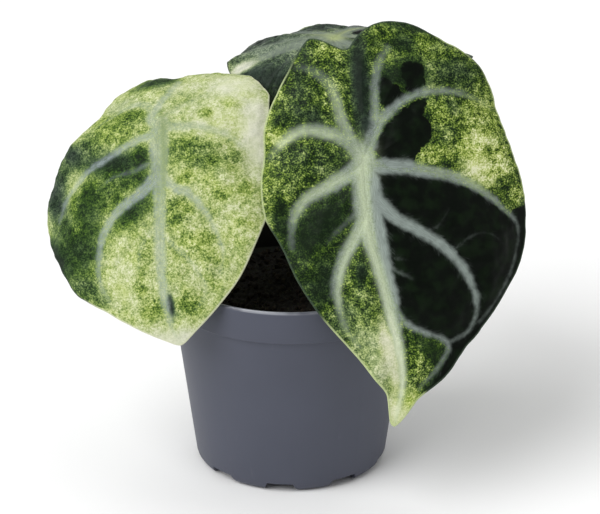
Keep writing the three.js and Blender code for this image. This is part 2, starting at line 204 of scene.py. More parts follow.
def unit(vector):
    return vector / np.linalg.norm(vector)


# A profile's corners of radius, height and round, as points with each corner rounded by an arc
def rounded_profile(corners, steps=5):
    points = []
    for i, (radius, height, corner_round) in enumerate(corners):
        here = np.array([radius, height], float)
        if corner_round == 0:
            points.append(here)
            continue
        before = unit(np.array(corners[i - 1][:2]) - here)
        after = unit(np.array(corners[i + 1][:2]) - here)
        half_angle = math.acos(np.clip(before @ after, -1, 1)) / 2
        centre = here + unit(before + after) * corner_round / math.sin(half_angle)
        start = here + before * corner_round / math.tan(half_angle) - centre
        end = here + after * corner_round / math.tan(half_angle) - centre
        turn = math.acos(np.clip(unit(start) @ unit(end), -1, 1))
        for share in np.linspace(0, 1, steps + 1):
            weights = math.sin((1 - share) * turn), math.sin(share * turn)
            points.append(centre + (weights[0] * start + weights[1] * end) / math.sin(turn))
    return points


def angles_round(count):
    return [2 * math.pi * i / count for i in range(count)]


def ring_points(radius, height, segments):
    return [(radius * math.cos(angle), radius * math.sin(angle), height) for angle in angles_round(segments)]


# Faces of rings stacked upwards and closed by one point below and one above, which come after the rings
def ring_faces(ring_count, segments):
    faces = []
    last = (ring_count - 1) * segments
    lowest = ring_count * segments
    for j in range(segments):
        after = (j + 1) % segments
        faces.append((lowest, after, j))
        faces.append((lowest + 1, last + j, last + after))
        for ring in range(0, last, segments):
            faces.append((ring + j, ring + after, ring + segments + after, ring + segments + j))
    return faces


# A closed body turned round the Z axis from a profile that starts and ends on the axis
def turned_body(profile, segments):
    points = []
    for radius, height in profile[1:-1]:
        points += ring_points(radius, height, segments)
    points += [(0, 0, profile[0][1]), (0, 0, profile[-1][1])]
    return points, ring_faces(len(profile) - 2, segments)


# Bars along X of one section, from an inner to an outer radius, one for each channel
def channel_bars(section, reach):
    points = []
    faces = []
    count = len(section)
    for i in range(CHANNEL_COUNT):
        turn = math.radians(FRONT_CHANNEL_ANGLE + 360 * i / CHANNEL_COUNT)
        start = len(points)
        cos, sin = math.cos(turn), math.sin(turn)
        for x in reach:
            for y, z in section:
                points.append((x * cos - y * sin, x * sin + y * cos, z))
        faces.append([start + k for k in reversed(range(count))])
        faces.append([start + count + k for k in range(count)])
        for k in range(count):
            after = (k + 1) % count
            faces.append((start + k, start + after, start + count + after, start + count + k))
    return points, faces


def cut_away(piece, points, faces):
    cutter = new_object("cutter", new_mesh("cutter", points, faces))
    cut = piece.modifiers.new("cut", "BOOLEAN")
    cut.operation = "DIFFERENCE"
    cut.solver = "EXACT"
    cut.object = cutter
    depsgraph = bpy.context.evaluated_depsgraph_get()
    result = bpy.data.meshes.new_from_object(piece.evaluated_get(depsgraph))
    piece.modifiers.remove(cut)
    piece.data = result
    bpy.data.objects.remove(cutter)


band_bottom = POT_HEIGHT - RIM_BAND_HEIGHT
band_radius = POT_RIM_RADIUS - RIM_BAND_DRAFT
wall_top_radius = band_radius - RIM_BAND_STEP
inner_round = FOOT_ROUND - POT_WALL
pot_corners = [
    (0, 0, 0),
    (FOOT_WALL_RADIUS, 0, FOOT_ROUND),
    (wall_top_radius, band_bottom, CREASE_ROUND),
    (band_radius, band_bottom, STEP_ROUND),
    (POT_RIM_RADIUS, POT_HEIGHT, LIP_ROUND),
    (POT_RIM_RADIUS - POT_WALL, POT_HEIGHT, LIP_ROUND),
    (band_radius - POT_WALL, band_bottom + RIM_BAND_STEP, STEP_ROUND),
    (wall_top_radius - POT_WALL, band_bottom - STEP_ROUND, STEP_ROUND),
    (FOOT_WALL_RADIUS - POT_WALL, RAISED_FLOOR, inner_round),
    (RAISED_FLOOR_RADIUS + RAISED_FLOOR_SLOPE, RAISED_FLOOR, CREASE_ROUND),
    (RAISED_FLOOR_RADIUS, POT_FLOOR, CREASE_ROUND),
    (0, POT_FLOOR, 0),
]

plastic, tree, shader = new_material("slate_plastic", Specular_IOR_Level=0.28, Coat_Roughness=0.18)
place = object_place(tree)
cloud = noise_value(tree, place, CLOUD_SIZE * MM, detail=3)
stretch = add_node(tree, "ShaderNodeMapping", {"Vector": place, "Scale": SCUFF_STRETCH}).outputs[0]
scratches = noise_value(tree, stretch, SCUFF_SIZE * MM, detail=6, roughness=0.7)
scuff = smooth_step(tree, scratches, *SCUFF_RANGE)
slate = mix_colours(tree, cloud, *SLATES)
slate = mix_colours(tree, calculate(tree, "MULTIPLY", scuff, SCUFF_STRENGTH), slate, SCUFFED_SLATE)
# Faces that turn in towards the pot's axis, its whole inner wall, are painted almost black: painted shade
# inside the pot
outward = calculate_vector(tree, "NORMALIZE", calculate_vector(tree, "MULTIPLY", place, (1, 1, 0)))
face_normal = add_node(tree, "ShaderNodeTexCoord").outputs["Normal"]
facing_out = calculate_vector(tree, "DOT_PRODUCT", outward, face_normal, output="Value")
slate = mix_colours(tree, smooth_step(tree, facing_out, *INNER_SHADE_RANGE), slate, INNER_WALL_SHADE)
above_foot = add_node(tree, "ShaderNodeSeparateXYZ", {0: place}).outputs[2]
# A band round the top of the lip is painted paler in patches: partly rubbed wear, partly a painted highlight
# along the lip. The same band also sets the lip's roughness and coat
lip_top = smooth_step(tree, above_foot, (POT_HEIGHT - LIP_TOP_FROM) * MM, (POT_HEIGHT - LIP_TOP_FULLY) * MM)
rubbed_and_highlit_places = smooth_step(tree, noise_value(tree, place, RUBBED_AND_HIGHLIT_SIZE * MM), *RUBBED_AND_HIGHLIT_RANGE)
rubbed_and_highlit = calculate(tree, "MULTIPLY", lip_top, calculate(tree, "MULTIPLY", rubbed_and_highlit_places, RUBBED_AND_HIGHLIT_STRENGTH))
tree.links.new(mix_colours(tree, rubbed_and_highlit, slate, RUBBED_AND_HIGHLIT_SLATE), shader["Base Color"])
dullness = SLATE_ROUGHNESS
for mask, change in ((cloud, CLOUD_ROUGHNESS), (scuff, SCUFF_ROUGHNESS), (lip_top, LIP_ROUGHNESS)):
    dullness = calculate(tree, "MULTIPLY_ADD", mask, change, dullness)
tree.links.new(dullness, shader["Roughness"])
tree.links.new(lip_top, shader["Coat Weight"])
add_bump(tree, shader, noise_value(tree, place, PEBBLE_SIZE * MM), strength=0.18, depth=PEBBLE_DEPTH)

pot_points, pot_faces = turned_body(rounded_profile(pot_corners), POT_SEGMENTS)
pot = new_object("nursery_pot", new_mesh("nursery_pot", pot_points, pot_faces), plastic)
below = CHANNEL_WIDTH_BELOW / 2
above = CHANNEL_WIDTH_ABOVE / 2
drain = DRAIN_WIDTH / 2
drain_top = RAISED_FLOOR + CUTTER_EXCESS
channel_section = [
    (-below, -CUTTER_EXCESS), (below, -CUTTER_EXCESS), (below, 0),
    (above, CHANNEL_HEIGHT), (-above, CHANNEL_HEIGHT), (-below, 0),
]
drain_section = [(-drain, -CUTTER_EXCESS), (drain, -CUTTER_EXCESS), (drain, drain_top), (-drain, drain_top)]
cut_away(pot, *channel_bars(channel_section, CHANNEL_REACH))
cut_away(pot, *channel_bars(drain_section, DRAIN_REACH))
shade_smooth(pot.data, POT_CREASE_DEGREES)
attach(pot, "root")
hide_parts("pot")


# Potting soil
# Dark peat with bark crumbs, pressed in to a finger's width below the rim and heaped round the crown.
# Loose crumbs of peat and bark lie on it.
SOIL_EDGE_HEIGHT = 61.5
SOIL_SHOULDER_HEIGHT = 65.5
SOIL_SHOULDER_RADIUS = 37
SOIL_HEAP_HEIGHT = 7
SOIL_HEAP_SPREAD = 16
SOIL_GAP = 0.3
SOIL_EDGE_INSET = 0.3
SOIL_FOOT_RADIUS = 31
SOIL_SEGMENTS = 280
SOIL_RINGS = 120
SOIL_CREASE_DEGREES = 60
ROLLING_SIZE = 9
ROLLING_HEIGHT = 0.9
CLOD_SIZE = 2.6
CLOD_HEIGHT = 0.75
PEATS = [(12, 11, 10), (27, 23, 19), (52, 44, 36)]
BARKS = [(17, 14, 12), (40, 32, 25), (64, 52, 40)]
LUMP_SIZE = 1.6
LUMP_RANGE = (0.35, 0.7)
LUMP_RELIEF = 0.6
GRAIN_SIZE = 0.3
GRIT_RANGE = (0.62, 0.72)
SOIL_BUMP_DEPTH = 0.3
CROWN_X = 10
CROWN_Y = 4
CRUMB_COUNT = 1100
CRUMB_SIZES = (0.35, 1.7)
CRUMB_SHAPE = (1.0, 0.75, 0.55)
CRUMB_UNEVENNESS = 0.28
CRUMB_BALL = (4, 7)
CRUMB_INSET = 1.5
CRUMB_LIFT = 0.2
CRUMB_CREASE_DEGREES = 50
CRUMB_SEED = 7


# Falls from 1 at no distance along a bell curve of the given spread
def bell(distance, spread):
    return np.exp(-((distance / spread) ** 2))


# Fractal relief above and below 0 with lumps of the given size, cut from the noise at one level
def relief(x, y, size, level, dimension=1.0, lacunarity=2.0, octaves=2):
    return noise.fractal(Vector((x / size, y / size, level)), dimension, lacunarity, octaves)


def soil_height(x, y):
    radius = math.hypot(x, y)
    edge = max(0.0, (radius - SOIL_SHOULDER_RADIUS) / (soil_edge_radius - SOIL_SHOULDER_RADIUS))
    base = SOIL_SHOULDER_HEIGHT + (SOIL_EDGE_HEIGHT - SOIL_SHOULDER_HEIGHT) * min(1.0, edge)
    heap = SOIL_HEAP_HEIGHT * bell(math.hypot(x - CROWN_X, y - CROWN_Y), SOIL_HEAP_SPREAD)
    rolling = ROLLING_HEIGHT * relief(x, y, ROLLING_SIZE, level=0.3, dimension=0.9, octaves=3)
    clods = CLOD_HEIGHT * relief(x, y, CLOD_SIZE, level=4.1, dimension=0.6, lacunarity=2.1, octaves=4)
    return base + heap + rolling + clods


def ball_points(rings, sides):
    points = [(0, 0, -1)]
    for i in range(1, rings):
        polar = math.pi * i / rings - math.pi / 2
        points += ring_points(math.cos(polar), math.sin(polar), sides)
    return np.array(points + [(0, 0, 1)])


# As for any stack of rings, but with the lowest point before the rings
def ball_faces(rings, sides):
    highest = 1 + (rings - 1) * sides
    order = [*range(1, highest), 0, highest]
    return [[order[corner] for corner in face] for face in ring_faces(rings - 1, sides)]


def soil_material(name, dark, light, grit):
    material, tree, shader = new_material(name, Roughness=0.95, Specular_IOR_Level=0.2)
    place = object_place(tree)
    lumps = noise_value(tree, place, LUMP_SIZE * MM, detail=4, roughness=0.65)
    grains = noise_value(tree, place, GRAIN_SIZE * MM, detail=3, roughness=0.6)
    colour = mix_colours(tree, smooth_step(tree, lumps, *LUMP_RANGE), dark, light)
    colour = mix_colours(tree, smooth_step(tree, grains, *GRIT_RANGE), colour, grit)
    tree.links.new(colour, shader["Base Color"])
    height = calculate(tree, "MULTIPLY_ADD", lumps, LUMP_RELIEF, grains)
    add_bump(tree, shader, height, strength=0.8, depth=SOIL_BUMP_DEPTH)
    return material


soil_edge_radius = wall_top_radius - POT_WALL - SOIL_GAP - SOIL_EDGE_INSET
soil_foot = RAISED_FLOOR + SOIL_GAP
soil_points = []
for ring in range(1, SOIL_RINGS + 1):
    for x, y, _ in ring_points(soil_edge_radius * ring / SOIL_RINGS, 0, SOIL_SEGMENTS):
        soil_points.append((x, y, soil_height(x, y)))
soil_points += ring_points(FOOT_WALL_RADIUS - POT_WALL - SOIL_GAP, RAISED_FLOOR + inner_round, SOIL_SEGMENTS)
soil_points += ring_points(SOIL_FOOT_RADIUS, soil_foot, SOIL_SEGMENTS)
soil_points += [(0, 0, soil_height(0, 0)), (0, 0, soil_foot)]
downward_faces = [(face[0], *face[:0:-1]) for face in ring_faces(SOIL_RINGS + 2, SOIL_SEGMENTS)]
peat = soil_material("peat", *PEATS)
soil = new_object("potting_soil", new_mesh("potting_soil", soil_points, downward_faces), peat)
shade_smooth(soil.data, SOIL_CREASE_DEGREES)
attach(soil, "root")
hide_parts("soil")

draw = np.random.default_rng(CRUMB_SEED)
crumb_ball = ball_points(*CRUMB_BALL)
crumb_points = []
crumb_faces = []
for _ in range(CRUMB_COUNT):
    radius = (soil_edge_radius - CRUMB_INSET) * math.sqrt(draw.random())
    angle = draw.random() * 2 * math.pi
    x, y = radius * math.cos(angle), radius * math.sin(angle)
    size = CRUMB_SIZES[0] + (CRUMB_SIZES[1] - CRUMB_SIZES[0]) * draw.random() ** 3
    spin, _ = np.linalg.qr(draw.normal(size=(3, 3)))
    uneven = draw.normal(size=(len(crumb_ball), 1)).clip(-1.5, 1.5)
    shape = crumb_ball * (1 + CRUMB_UNEVENNESS * uneven)
    shape = (shape * np.array(CRUMB_SHAPE) * size) @ spin
    offset = len(crumb_points) * len(crumb_ball)
    crumb_points.append(shape + np.array([x, y, soil_height(x, y) + CRUMB_LIFT * size]))
    crumb_faces += [[offset + corner for corner in face] for face in ball_faces(*CRUMB_BALL)]
bark = soil_material("bark_crumbs", *BARKS)
crumbs = new_object("bark_crumbs", new_mesh("bark_crumbs", np.concatenate(crumb_points), crumb_faces), bark)
shade_smooth(crumbs.data, CRUMB_CREASE_DEGREES)
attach(crumbs, "root")


# Rhizome
# The short upright stem, ringed by the scars of older leaves and wrapped in what is left of their sheaths.
# It stands in the soil, and the leaf stalks grow from its top.
CROWN_RADIUS = 7
CROWN_BOTTOM = 48
CROWN_TOP = 75
CROWN_DOME = 0.6
CROWN_WIDTH = 0.96
CROWN_NARROWING = 0.12
CROWN_SEGMENTS = 90
CROWN_RINGS = 60
CROWN_CREASE_DEGREES = 50
SCAR_DEPTH = 0.28
SCAR_TURN_PER_MM = 2.1
SCAR_WANDER = 0.4
SHEATH_REMAINS_SIZE = 0.4
SHEATH_REMAINS_DEPTH = 0.35
BROWNS = [(0.3, (62, 48, 34)), (0.5, (108, 88, 60)), (0.68, (150, 132, 96))]
BROWN_BAND_SIZE = 3
BROWN_BAND_STRETCH = (1, 1, 4)
CROWN_BUMP_DEPTH = 0.4


def crown_radius(height, angle):
    share = (height - CROWN_BOTTOM) / (CROWN_TOP - CROWN_BOTTOM)
    scars = SCAR_DEPTH * math.sin(height * SCAR_TURN_PER_MM + SCAR_WANDER * math.sin(angle * 2)) ** 3
    round_place = math.cos(angle), math.sin(angle)
    remains = relief(*round_place, SHEATH_REMAINS_SIZE, level=height / 2, dimension=0.8, octaves=3)
    width = CROWN_RADIUS * (CROWN_WIDTH - CROWN_NARROWING * share**6)
    return width + scars + SHEATH_REMAINS_DEPTH * remains


crown_points = []
for ring in range(CROWN_RINGS + 1):
    height = CROWN_BOTTOM + (CROWN_TOP - CROWN_BOTTOM) * ring / CROWN_RINGS
    for angle in angles_round(CROWN_SEGMENTS):
        radius = crown_radius(height, angle)
        crown_points.append((CROWN_X + radius * math.cos(angle), CROWN_Y + radius * math.sin(angle), height))
crown_points += [(CROWN_X, CROWN_Y, CROWN_BOTTOM), (CROWN_X, CROWN_Y, CROWN_TOP + CROWN_DOME)]
crown_faces = ring_faces(CROWN_RINGS + 1, CROWN_SEGMENTS)

crown_bark, tree, shader = new_material("rhizome_bark", Roughness=0.8, Specular_IOR_Level=0.25)
stretch = {"Vector": object_place(tree), "Scale": BROWN_BAND_STRETCH}
banded_place = add_node(tree, "ShaderNodeMapping", stretch).outputs[0]
bands = noise_value(tree, banded_place, BROWN_BAND_SIZE * MM, detail=4, roughness=0.6)
tree.links.new(colour_ramp(tree, bands, BROWNS), shader["Base Color"])
add_bump(tree, shader, bands, strength=0.6, depth=CROWN_BUMP_DEPTH)
rhizome = new_object("rhizome_stem", new_mesh("rhizome_stem", crown_points, crown_faces), crown_bark)
shade_smooth(rhizome.data, CROWN_CREASE_DEGREES)
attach(rhizome, "root")
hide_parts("rhizome")


# Leaf blades
# Each blade grows as one tough sheet with its stalk fixed a third of the way in from its lobes. It swells
# between sunken veins, ribs stand out of its underside, and its margin is a thin pale cord.
BLADE_THICKNESS = 0.7
VALLEY_SPREAD = 7
WAVE_ONSET = 3
GROOVE_DEPTH = 0.3
GROOVE_SPREAD = 0.8
PUCKER_HEIGHT = 0.45
PUCKER_SIZE = 5
MARGIN_DROOP = 0.6
MARGIN_DROOP_SPREAD = 2.2
RIB_SPREAD = 1.2
MAIN_VEIN_RIB = 0.5
RAYS = 440
RINGS = 88
ARCH_SPAN = 100
LOBE_SPAN = 50
SIDE_SPAN = 50
LINE_STEPS = 6
SMOOTHING_PASSES = 30
SOLID_TONE = 0.02
FAR_AWAY = 99.0
BAND_SOFTNESS = 0.7
RIB_TAPER = 0.7
WASH_POWER = 1.5
PUCKER_CLEARANCE = 3
GROOVE_FADE = 0.6
EDGE_ANGLES = (45, 0, -45)
SEED_SPACING = 50
FLECK_SIZE = 0.58
CLUMP_SIZE = 2.1
PATCH_SIZE = 5.5
FLECK_MOTTLE = 3.3
CLUMP_MOTTLE = 2.3
PATCH_MOTTLE = 1.3
SECTOR_CLUMPS = 4
SECTOR_FLECKS = 1.2
SECTOR_SOFTNESS = 0.2
WANDER_SIZE = 3.2
BAND_FRAY = 1.1
BAND_WANDER = 2.0
WISP_WANDER = 6
WISP_RANGE = (0.46, 0.7)
WISP_REACH = (2.4, 0.2)
HAZE_DRIFT = 0.8
SOLID_DRIFT = (0.4, 0.7)
STRAND_RANGE = (0.3, 0.7)
STRAND_CONTRAST = 0.34
STRAND_SHADE = 0.8
SPECK_RANGE = (0.42, 0.62)
SPECKS_IN_SILVER = -0.42
SPECKS_IN_HEART = -0.22
EDGE_CORE = 0.1
EDGE_STRENGTH = 0.75
SKIN_SIZE = 0.6
GLOSS_CLOUD_SIZE = 6
GLOSS_CLOUD = 0.14
BAND_ROUGHNESS = 0.18
BAND_RELIEF = 0.8


# An open line with one more point at each end, straight on
def extended(points):
    return np.concatenate([2 * points[:1] - points[1:2], points, 2 * points[-1:] - points[-2:-1]])


# The point at share t of a curve, from its ends and the directions in which it leaves and arrives
def curve_point(start, leave, end, arrive, t):
    return (
        start * (2 * t**3 - 3 * t**2 + 1)
        + leave * (t**3 - 2 * t**2 + t)
        + end * (3 * t**2 - 2 * t**3)
        + arrive * (t**3 - t**2)
    )


# Points along the smooth line through the given ones, closed into a loop or open
def smooth_line(points, closed):
    points = np.array(points, float)
    points = np.concatenate([points[-1:], points, points[:2]]) if closed else extended(points)
    before, start, end, after = points[:-3], points[1:-2], points[2:-1], points[3:]
    leave = (end - before) / 2
    arrive = (after - start) / 2
    pieces = [curve_point(start, leave, end, arrive, t) for t in np.arange(LINE_STEPS) / LINE_STEPS]
    line = np.stack(pieces, 1).reshape(-1, points.shape[1])
    return line if closed else np.concatenate([line, points[-2:-1]])


# The points at the given shares of a line's length
def points_along(line, shares):
    runs = np.concatenate([[0], np.cumsum(np.linalg.norm(np.diff(line, axis=0), axis=1))])
    return np.stack([np.interp(shares * runs[-1], runs, column) for column in line.T], 1)


# Distance of each point to a line, how far along the line its nearest point lies, and the values of the
# line's further columns there
def nearest_on_line(points, line):
    least = np.full(len(points), np.inf)
    runs = np.zeros(len(points))
    values = np.zeros((len(points), line.shape[1] - 2))
    passed = 0.0
    for start, end in zip(line[:-1], line[1:]):
        step = end[:2] - start[:2]
        length = np.linalg.norm(step)
        share = np.clip((points - start[:2]) @ step / length**2, 0, 1)
        distance = np.linalg.norm(points - start[:2] - share[:, None] * step, axis=1)
        nearer = distance < least
        least[nearer] = distance[nearer]
        runs[nearer] = passed + share[nearer] * length
        values[nearer] = start[2:] + share[nearer, None] * (end[2:] - start[2:])
        passed += length
    return least, runs, values


# Distance of each point to a closed outline, above 0 inside it
def depth_inside(points, outline):
    outline = np.array(outline, float)
    line = np.concatenate([outline, outline[:1]])
    distance, _, _ = nearest_on_line(points, line)
    inside = np.zeros(len(points), bool)
    for start, end in zip(line[:-1], line[1:]):
        if start[1] == end[1]:
            continue
        spans = (start[1] > points[:, 1]) != (end[1] > points[:, 1])
        crossing = start[0] + (points[:, 1] - start[1]) * (end[0] - start[0]) / (end[1] - start[1])
        inside ^= spans & (points[:, 0] < crossing)
    return np.where(inside, distance, -distance)


# The three directions of a blade at its stalk: across it, towards its tip, and out of its face
def blade_axes(leaf):
    face, tilt, roll = (math.radians(leaf[turn]) for turn in ("face", "tilt", "roll"))
    level = np.array([math.cos(face), math.sin(face), 0])
    downhill = np.array([math.sin(face) * math.sin(tilt), -math.cos(face) * math.sin(tilt), -math.cos(tilt)])
    normal = np.array([math.sin(face) * math.cos(tilt), -math.cos(face) * math.cos(tilt), math.sin(tilt)])
    across = level * math.cos(roll) - downhill * math.sin(roll)
    to_tip = downhill * math.cos(roll) + level * math.sin(roll)
    return across, to_tip, normal


# Where the flat points come to lie when the blade is bent, raised by lift along its normal
def bend_blade(leaf, flat, lift):
    u, v = flat[:, 0], flat[:, 1]
    along = np.where(v > 0, math.radians(leaf["arch"]) / ARCH_SPAN, math.radians(leaf["lobe"]) / LOBE_SPAN)
    aside = np.radians(np.where(u > 0, leaf["curl_plus"], leaf["curl_minus"])) / SIDE_SPAN
    across, to_tip, normal = blade_axes(leaf)
    spine = np.array(leaf["hub"]) + np.outer(np.sin(along * v) / along, to_tip)
    spine += np.outer((np.cos(along * v) - 1) / along, normal)
    spine_normal = np.outer(np.cos(along * v), normal) + np.outer(np.sin(along * v), to_tip)
    turned = aside * u
    local_normal = spine_normal * np.cos(turned)[:, None] + np.outer(np.sin(turned), across)
    sideways = np.outer(np.sin(turned) / aside, across)
    sideways += spine_normal * ((np.cos(turned) - 1) / aside)[:, None]
    return spine + sideways + local_normal * np.asarray(lift)[:, None]


# Each vein is a rib height and points of u, v, half width and cover. Returned for every flat point are
# the distance to the nearest main vein, the gap to the edge of the band that covers the point most, the
# run along that band and its cover, and the height of the ribs on the underside.
def read_veins(leaf, flat):
    middle, gap = np.full((2, len(flat)), FAR_AWAY)
    best, run, cover, rib = np.zeros((4, len(flat)))
    for rib_height, points in leaf["veins"]:
        distance, along, values = nearest_on_line(flat, smooth_line(points, closed=False))
        edge_gap = distance - values[:, 0]
        strength = values[:, 1] / (1 + np.exp(edge_gap / BAND_SOFTNESS))
        better = strength > best
        best[better] = strength[better]
        gap[better] = edge_gap[better]
        run[better] = along[better]
        cover[better] = values[better, 1]
        share = along / along.max()
        rib = np.maximum(rib, rib_height * (1 - RIB_TAPER * share) * bell(distance, RIB_SPREAD))
        if rib_height > MAIN_VEIN_RIB:
            middle = np.minimum(middle, distance)
    return middle, gap, run, cover, rib


# Pale tissue along the heart of a vein, from lines of u, v, half width and strength
def read_hearts(leaf, flat):
    uncovered = np.ones(len(flat))
    for points in leaf["hearts"]:
        distance, _, values = nearest_on_line(flat, smooth_line(points, closed=False))
        uncovered *= 1 - values[:, 1] * bell(distance, values[:, 0])
    return 1 - uncovered


# Washes of colour painted over each other in turn. Each has its centre, its half lengths across and
# along the blade, its turn in degrees, its tone from black to cream, its speckle and its grey haze.
def paint_washes(leaf, flat):
    paint = np.tile(np.array(leaf["ground"], float), (len(flat), 1))
    for u, v, half_wide, half_long, turn, *wash in leaf["washes"]:
        cos, sin = math.cos(math.radians(turn)), math.sin(math.radians(turn))
        x, y = flat[:, 0] - u, flat[:, 1] - v
        spread = ((x * cos + y * sin) / half_wide) ** 2 + ((y * cos - x * sin) / half_long) ** 2
        paint += np.exp(-(spread**WASH_POWER))[:, None] * (np.array(wash) - paint)
    return paint.T


# The tone of each point's wider surroundings
def surrounding_tone(tone):
    grid = tone[1:].reshape(RINGS, RAYS)
    for _ in range(SMOOTHING_PASSES):
        sideways = np.roll(grid, 1, 1) + np.roll(grid, -1, 1)
        inner = np.concatenate([grid[:1], grid[:-1]])
        outer = np.concatenate([grid[1:], grid[-1:]])
        grid = (grid * 2 + sideways + inner + outer) / 6
    return np.concatenate([[grid[0].mean()], grid.ravel()])


def add_attribute(mesh, name, kind, values):
    attribute = mesh.attributes.new(name, kind, "POINT")
    attribute.data.foreach_set("vector" if kind == "FLOAT_VECTOR" else "value", np.ravel(values))


# A blade as rings round its stalk: an upper and a lower face joined by a rounded margin
def blade_mesh(name, leaf):
    outline = smooth_line(leaf["outline"], closed=True)
    margin_line = np.concatenate([outline, outline[:1]])
    rim = points_along(margin_line, np.arange(RAYS) / RAYS)
    along_rim = np.roll(rim, -1, 0) - np.roll(rim, 1, 0)
    along_rim /= np.linalg.norm(along_rim, axis=1)[:, None]
    outward = np.stack([-along_rim[:, 1], along_rim[:, 0]], 1)
    outward *= np.sign(np.sum(outward * rim))

    reach = np.concatenate([[0], np.repeat(np.arange(1, RINGS + 1) / RINGS, RAYS)])
    flat = np.concatenate([[[0, 0]], np.concatenate([rim * r / RINGS for r in range(1, RINGS + 1)])])
    margin, _, _ = nearest_on_line(flat, margin_line)
    middle, gap, run, cover, rib = read_veins(leaf, flat)
    tone, speckle, haze = paint_washes(leaf, flat)
    sector = np.max([depth_inside(flat, corners) for corners in leaf["dark_sectors"]], axis=0)
    pale = surrounding_tone(np.where(sector > 0, SOLID_TONE, tone))
    for u, v, spread in leaf["dark_edges"]:
        pale *= 1 - bell(np.linalg.norm(flat - (u, v), axis=1), spread)

    swell = leaf["bulge"] * (1 - bell(middle, VALLEY_SPREAD))
    wave_angle = np.arctan2(flat[:, 0], flat[:, 1]) * leaf["wave_count"] + leaf["wave_phase"]
    wave = leaf["wave"] * reach**WAVE_ONSET * np.sin(wave_angle)
    pucker = np.array([relief(u, v, PUCKER_SIZE, level=leaf["seed"]) for u, v in flat])
    pucker *= PUCKER_HEIGHT * (1 - bell(middle, PUCKER_CLEARANCE))
    groove = GROOVE_DEPTH * (1 - GROOVE_FADE * reach) * bell(middle, GROOVE_SPREAD)
    droop = MARGIN_DROOP * bell(margin, MARGIN_DROOP_SPREAD)
    upper = swell + wave + pucker - groove - droop
    for u, v, spread, lift in leaf["lifts"]:
        upper += lift * bell(np.linalg.norm(flat - (u, v), axis=1), spread)
    lower = upper - BLADE_THICKNESS - rib * (1 - reach)

    half = BLADE_THICKNESS / 2
    edge_flat = []
    edge_lift = []
    for angle in EDGE_ANGLES:
        edge_flat.append(rim + outward * half * math.cos(math.radians(angle)))
        edge_lift.append(upper[-RAYS:] - half + half * math.sin(math.radians(angle)))
    all_flat = np.concatenate([flat, flat, *edge_flat])
    points = bend_blade(leaf, all_flat, np.concatenate([upper, lower, *edge_lift]))

    layer = len(flat)
    rings = np.arange(layer - 1).reshape(RINGS, RAYS) + 1
    following = np.roll(rings, -1, 1)
    hub_faces = np.stack([np.zeros(RAYS, int), rings[0], following[0]], -1)
    quads = np.stack([rings[:-1], rings[1:], following[1:], following[:-1]], -1).reshape(-1, 4)
    round_edge = 2 * layer + np.arange(len(EDGE_ANGLES) * RAYS).reshape(-1, RAYS)
    edges = [rings[-1], *round_edge, layer + rings[-1]]
    edge_quads = []
    for first, second in zip(edges[:-1], edges[1:]):
        edge_quads.append(np.stack([first, second, np.roll(second, -1), np.roll(first, -1)], -1))
    faces = [
        *hub_faces.tolist(), *quads.tolist(), *np.concatenate(edge_quads).tolist(),
        *(layer + hub_faces[:, ::-1]).tolist(), *(layer + quads[:, ::-1]).tolist(),
    ]
    mesh = new_mesh(name, points, faces)
    under_start = len(hub_faces) + len(quads) + len(EDGE_ANGLES) * RAYS
    mesh.polygons.foreach_set("material_index", (np.arange(len(faces)) >= under_start).astype(int))
    mesh.polygons.foreach_set("use_smooth", np.ones(len(faces), bool))

    seed_column = np.full((len(all_flat), 1), leaf["seed"] * SEED_SPACING)
    add_attribute(mesh, "flat", "FLOAT_VECTOR", np.concatenate([all_flat, seed_column], 1))
    for label, values in {
        "tone": tone, "speckle": speckle, "haze": haze, "sector": sector, "pale": pale, "margin": margin,
        "vein_gap": gap, "vein_run": run, "vein_cover": cover, "heart": read_hearts(leaf, flat),
    }.items():
        edge_values = np.tile(values[-RAYS:], len(EDGE_ANGLES))
        add_attribute(mesh, label, "FLOAT", np.concatenate([values, values, edge_values]))
    return mesh


# The value moved up and down by a noise from 0 to 1, by half the amount either way
def waver(tree, value, wobble, amount, clamp=False):
    centred = calculate(tree, "SUBTRACT", wobble, 0.5)
    return calculate(tree, "MULTIPLY_ADD", centred, amount, value, clamp=clamp)


# Green cells lie in fine specks over paler tissue, more of them where the tone is dark, and some
# sectors are solid green with a ragged edge
variegation, given, result = new_group(
    "Variegation",
    {"Flat": "Vector", "Tone": "Float", "Speckle": "Float", "Sector": "Float"},
    {"Tone": "Float", "Solid": "Float", "Flecks": "Float", "Drift": "Float"},
)
flecks = noise_value(variegation, given["Flat"], FLECK_SIZE, detail=2, roughness=0.6)
clumps = noise_value(variegation, given["Flat"], CLUMP_SIZE, detail=3, roughness=0.6)
patches = noise_value(variegation, given["Flat"], PATCH_SIZE)
mottle = 0.0
for spots, amount in ((flecks, FLECK_MOTTLE), (clumps, CLUMP_MOTTLE), (patches, PATCH_MOTTLE)):
    mottle = waver(variegation, mottle, spots, amount)
mottled = calculate(variegation, "MULTIPLY_ADD", mottle, given["Speckle"], given["Tone"], clamp=True)
ragged = waver(variegation, given["Sector"], clumps, SECTOR_CLUMPS)
ragged = waver(variegation, ragged, flecks, SECTOR_FLECKS)
solid = smooth_step(variegation, ragged, -SECTOR_SOFTNESS, SECTOR_SOFTNESS)
variegation.links.new(mottled, result["Tone"])
variegation.links.new(solid, result["Solid"])
variegation.links.new(flecks, result["Flecks"])
variegation.links.new(patches, result["Drift"])

# The silver over a vein is a band of fine hairs that lean towards the margin. It frays at its edges, and
# a few longer hairs reach beyond it.
vein_band, given, result = new_group(
    "Vein band",
    {"Gap": "Float", "Run": "Float", "Flat": "Vector", "Feather": "Float"},
    {"Band": "Float", "Wisps": "Float", "Strands": "Float"},
)


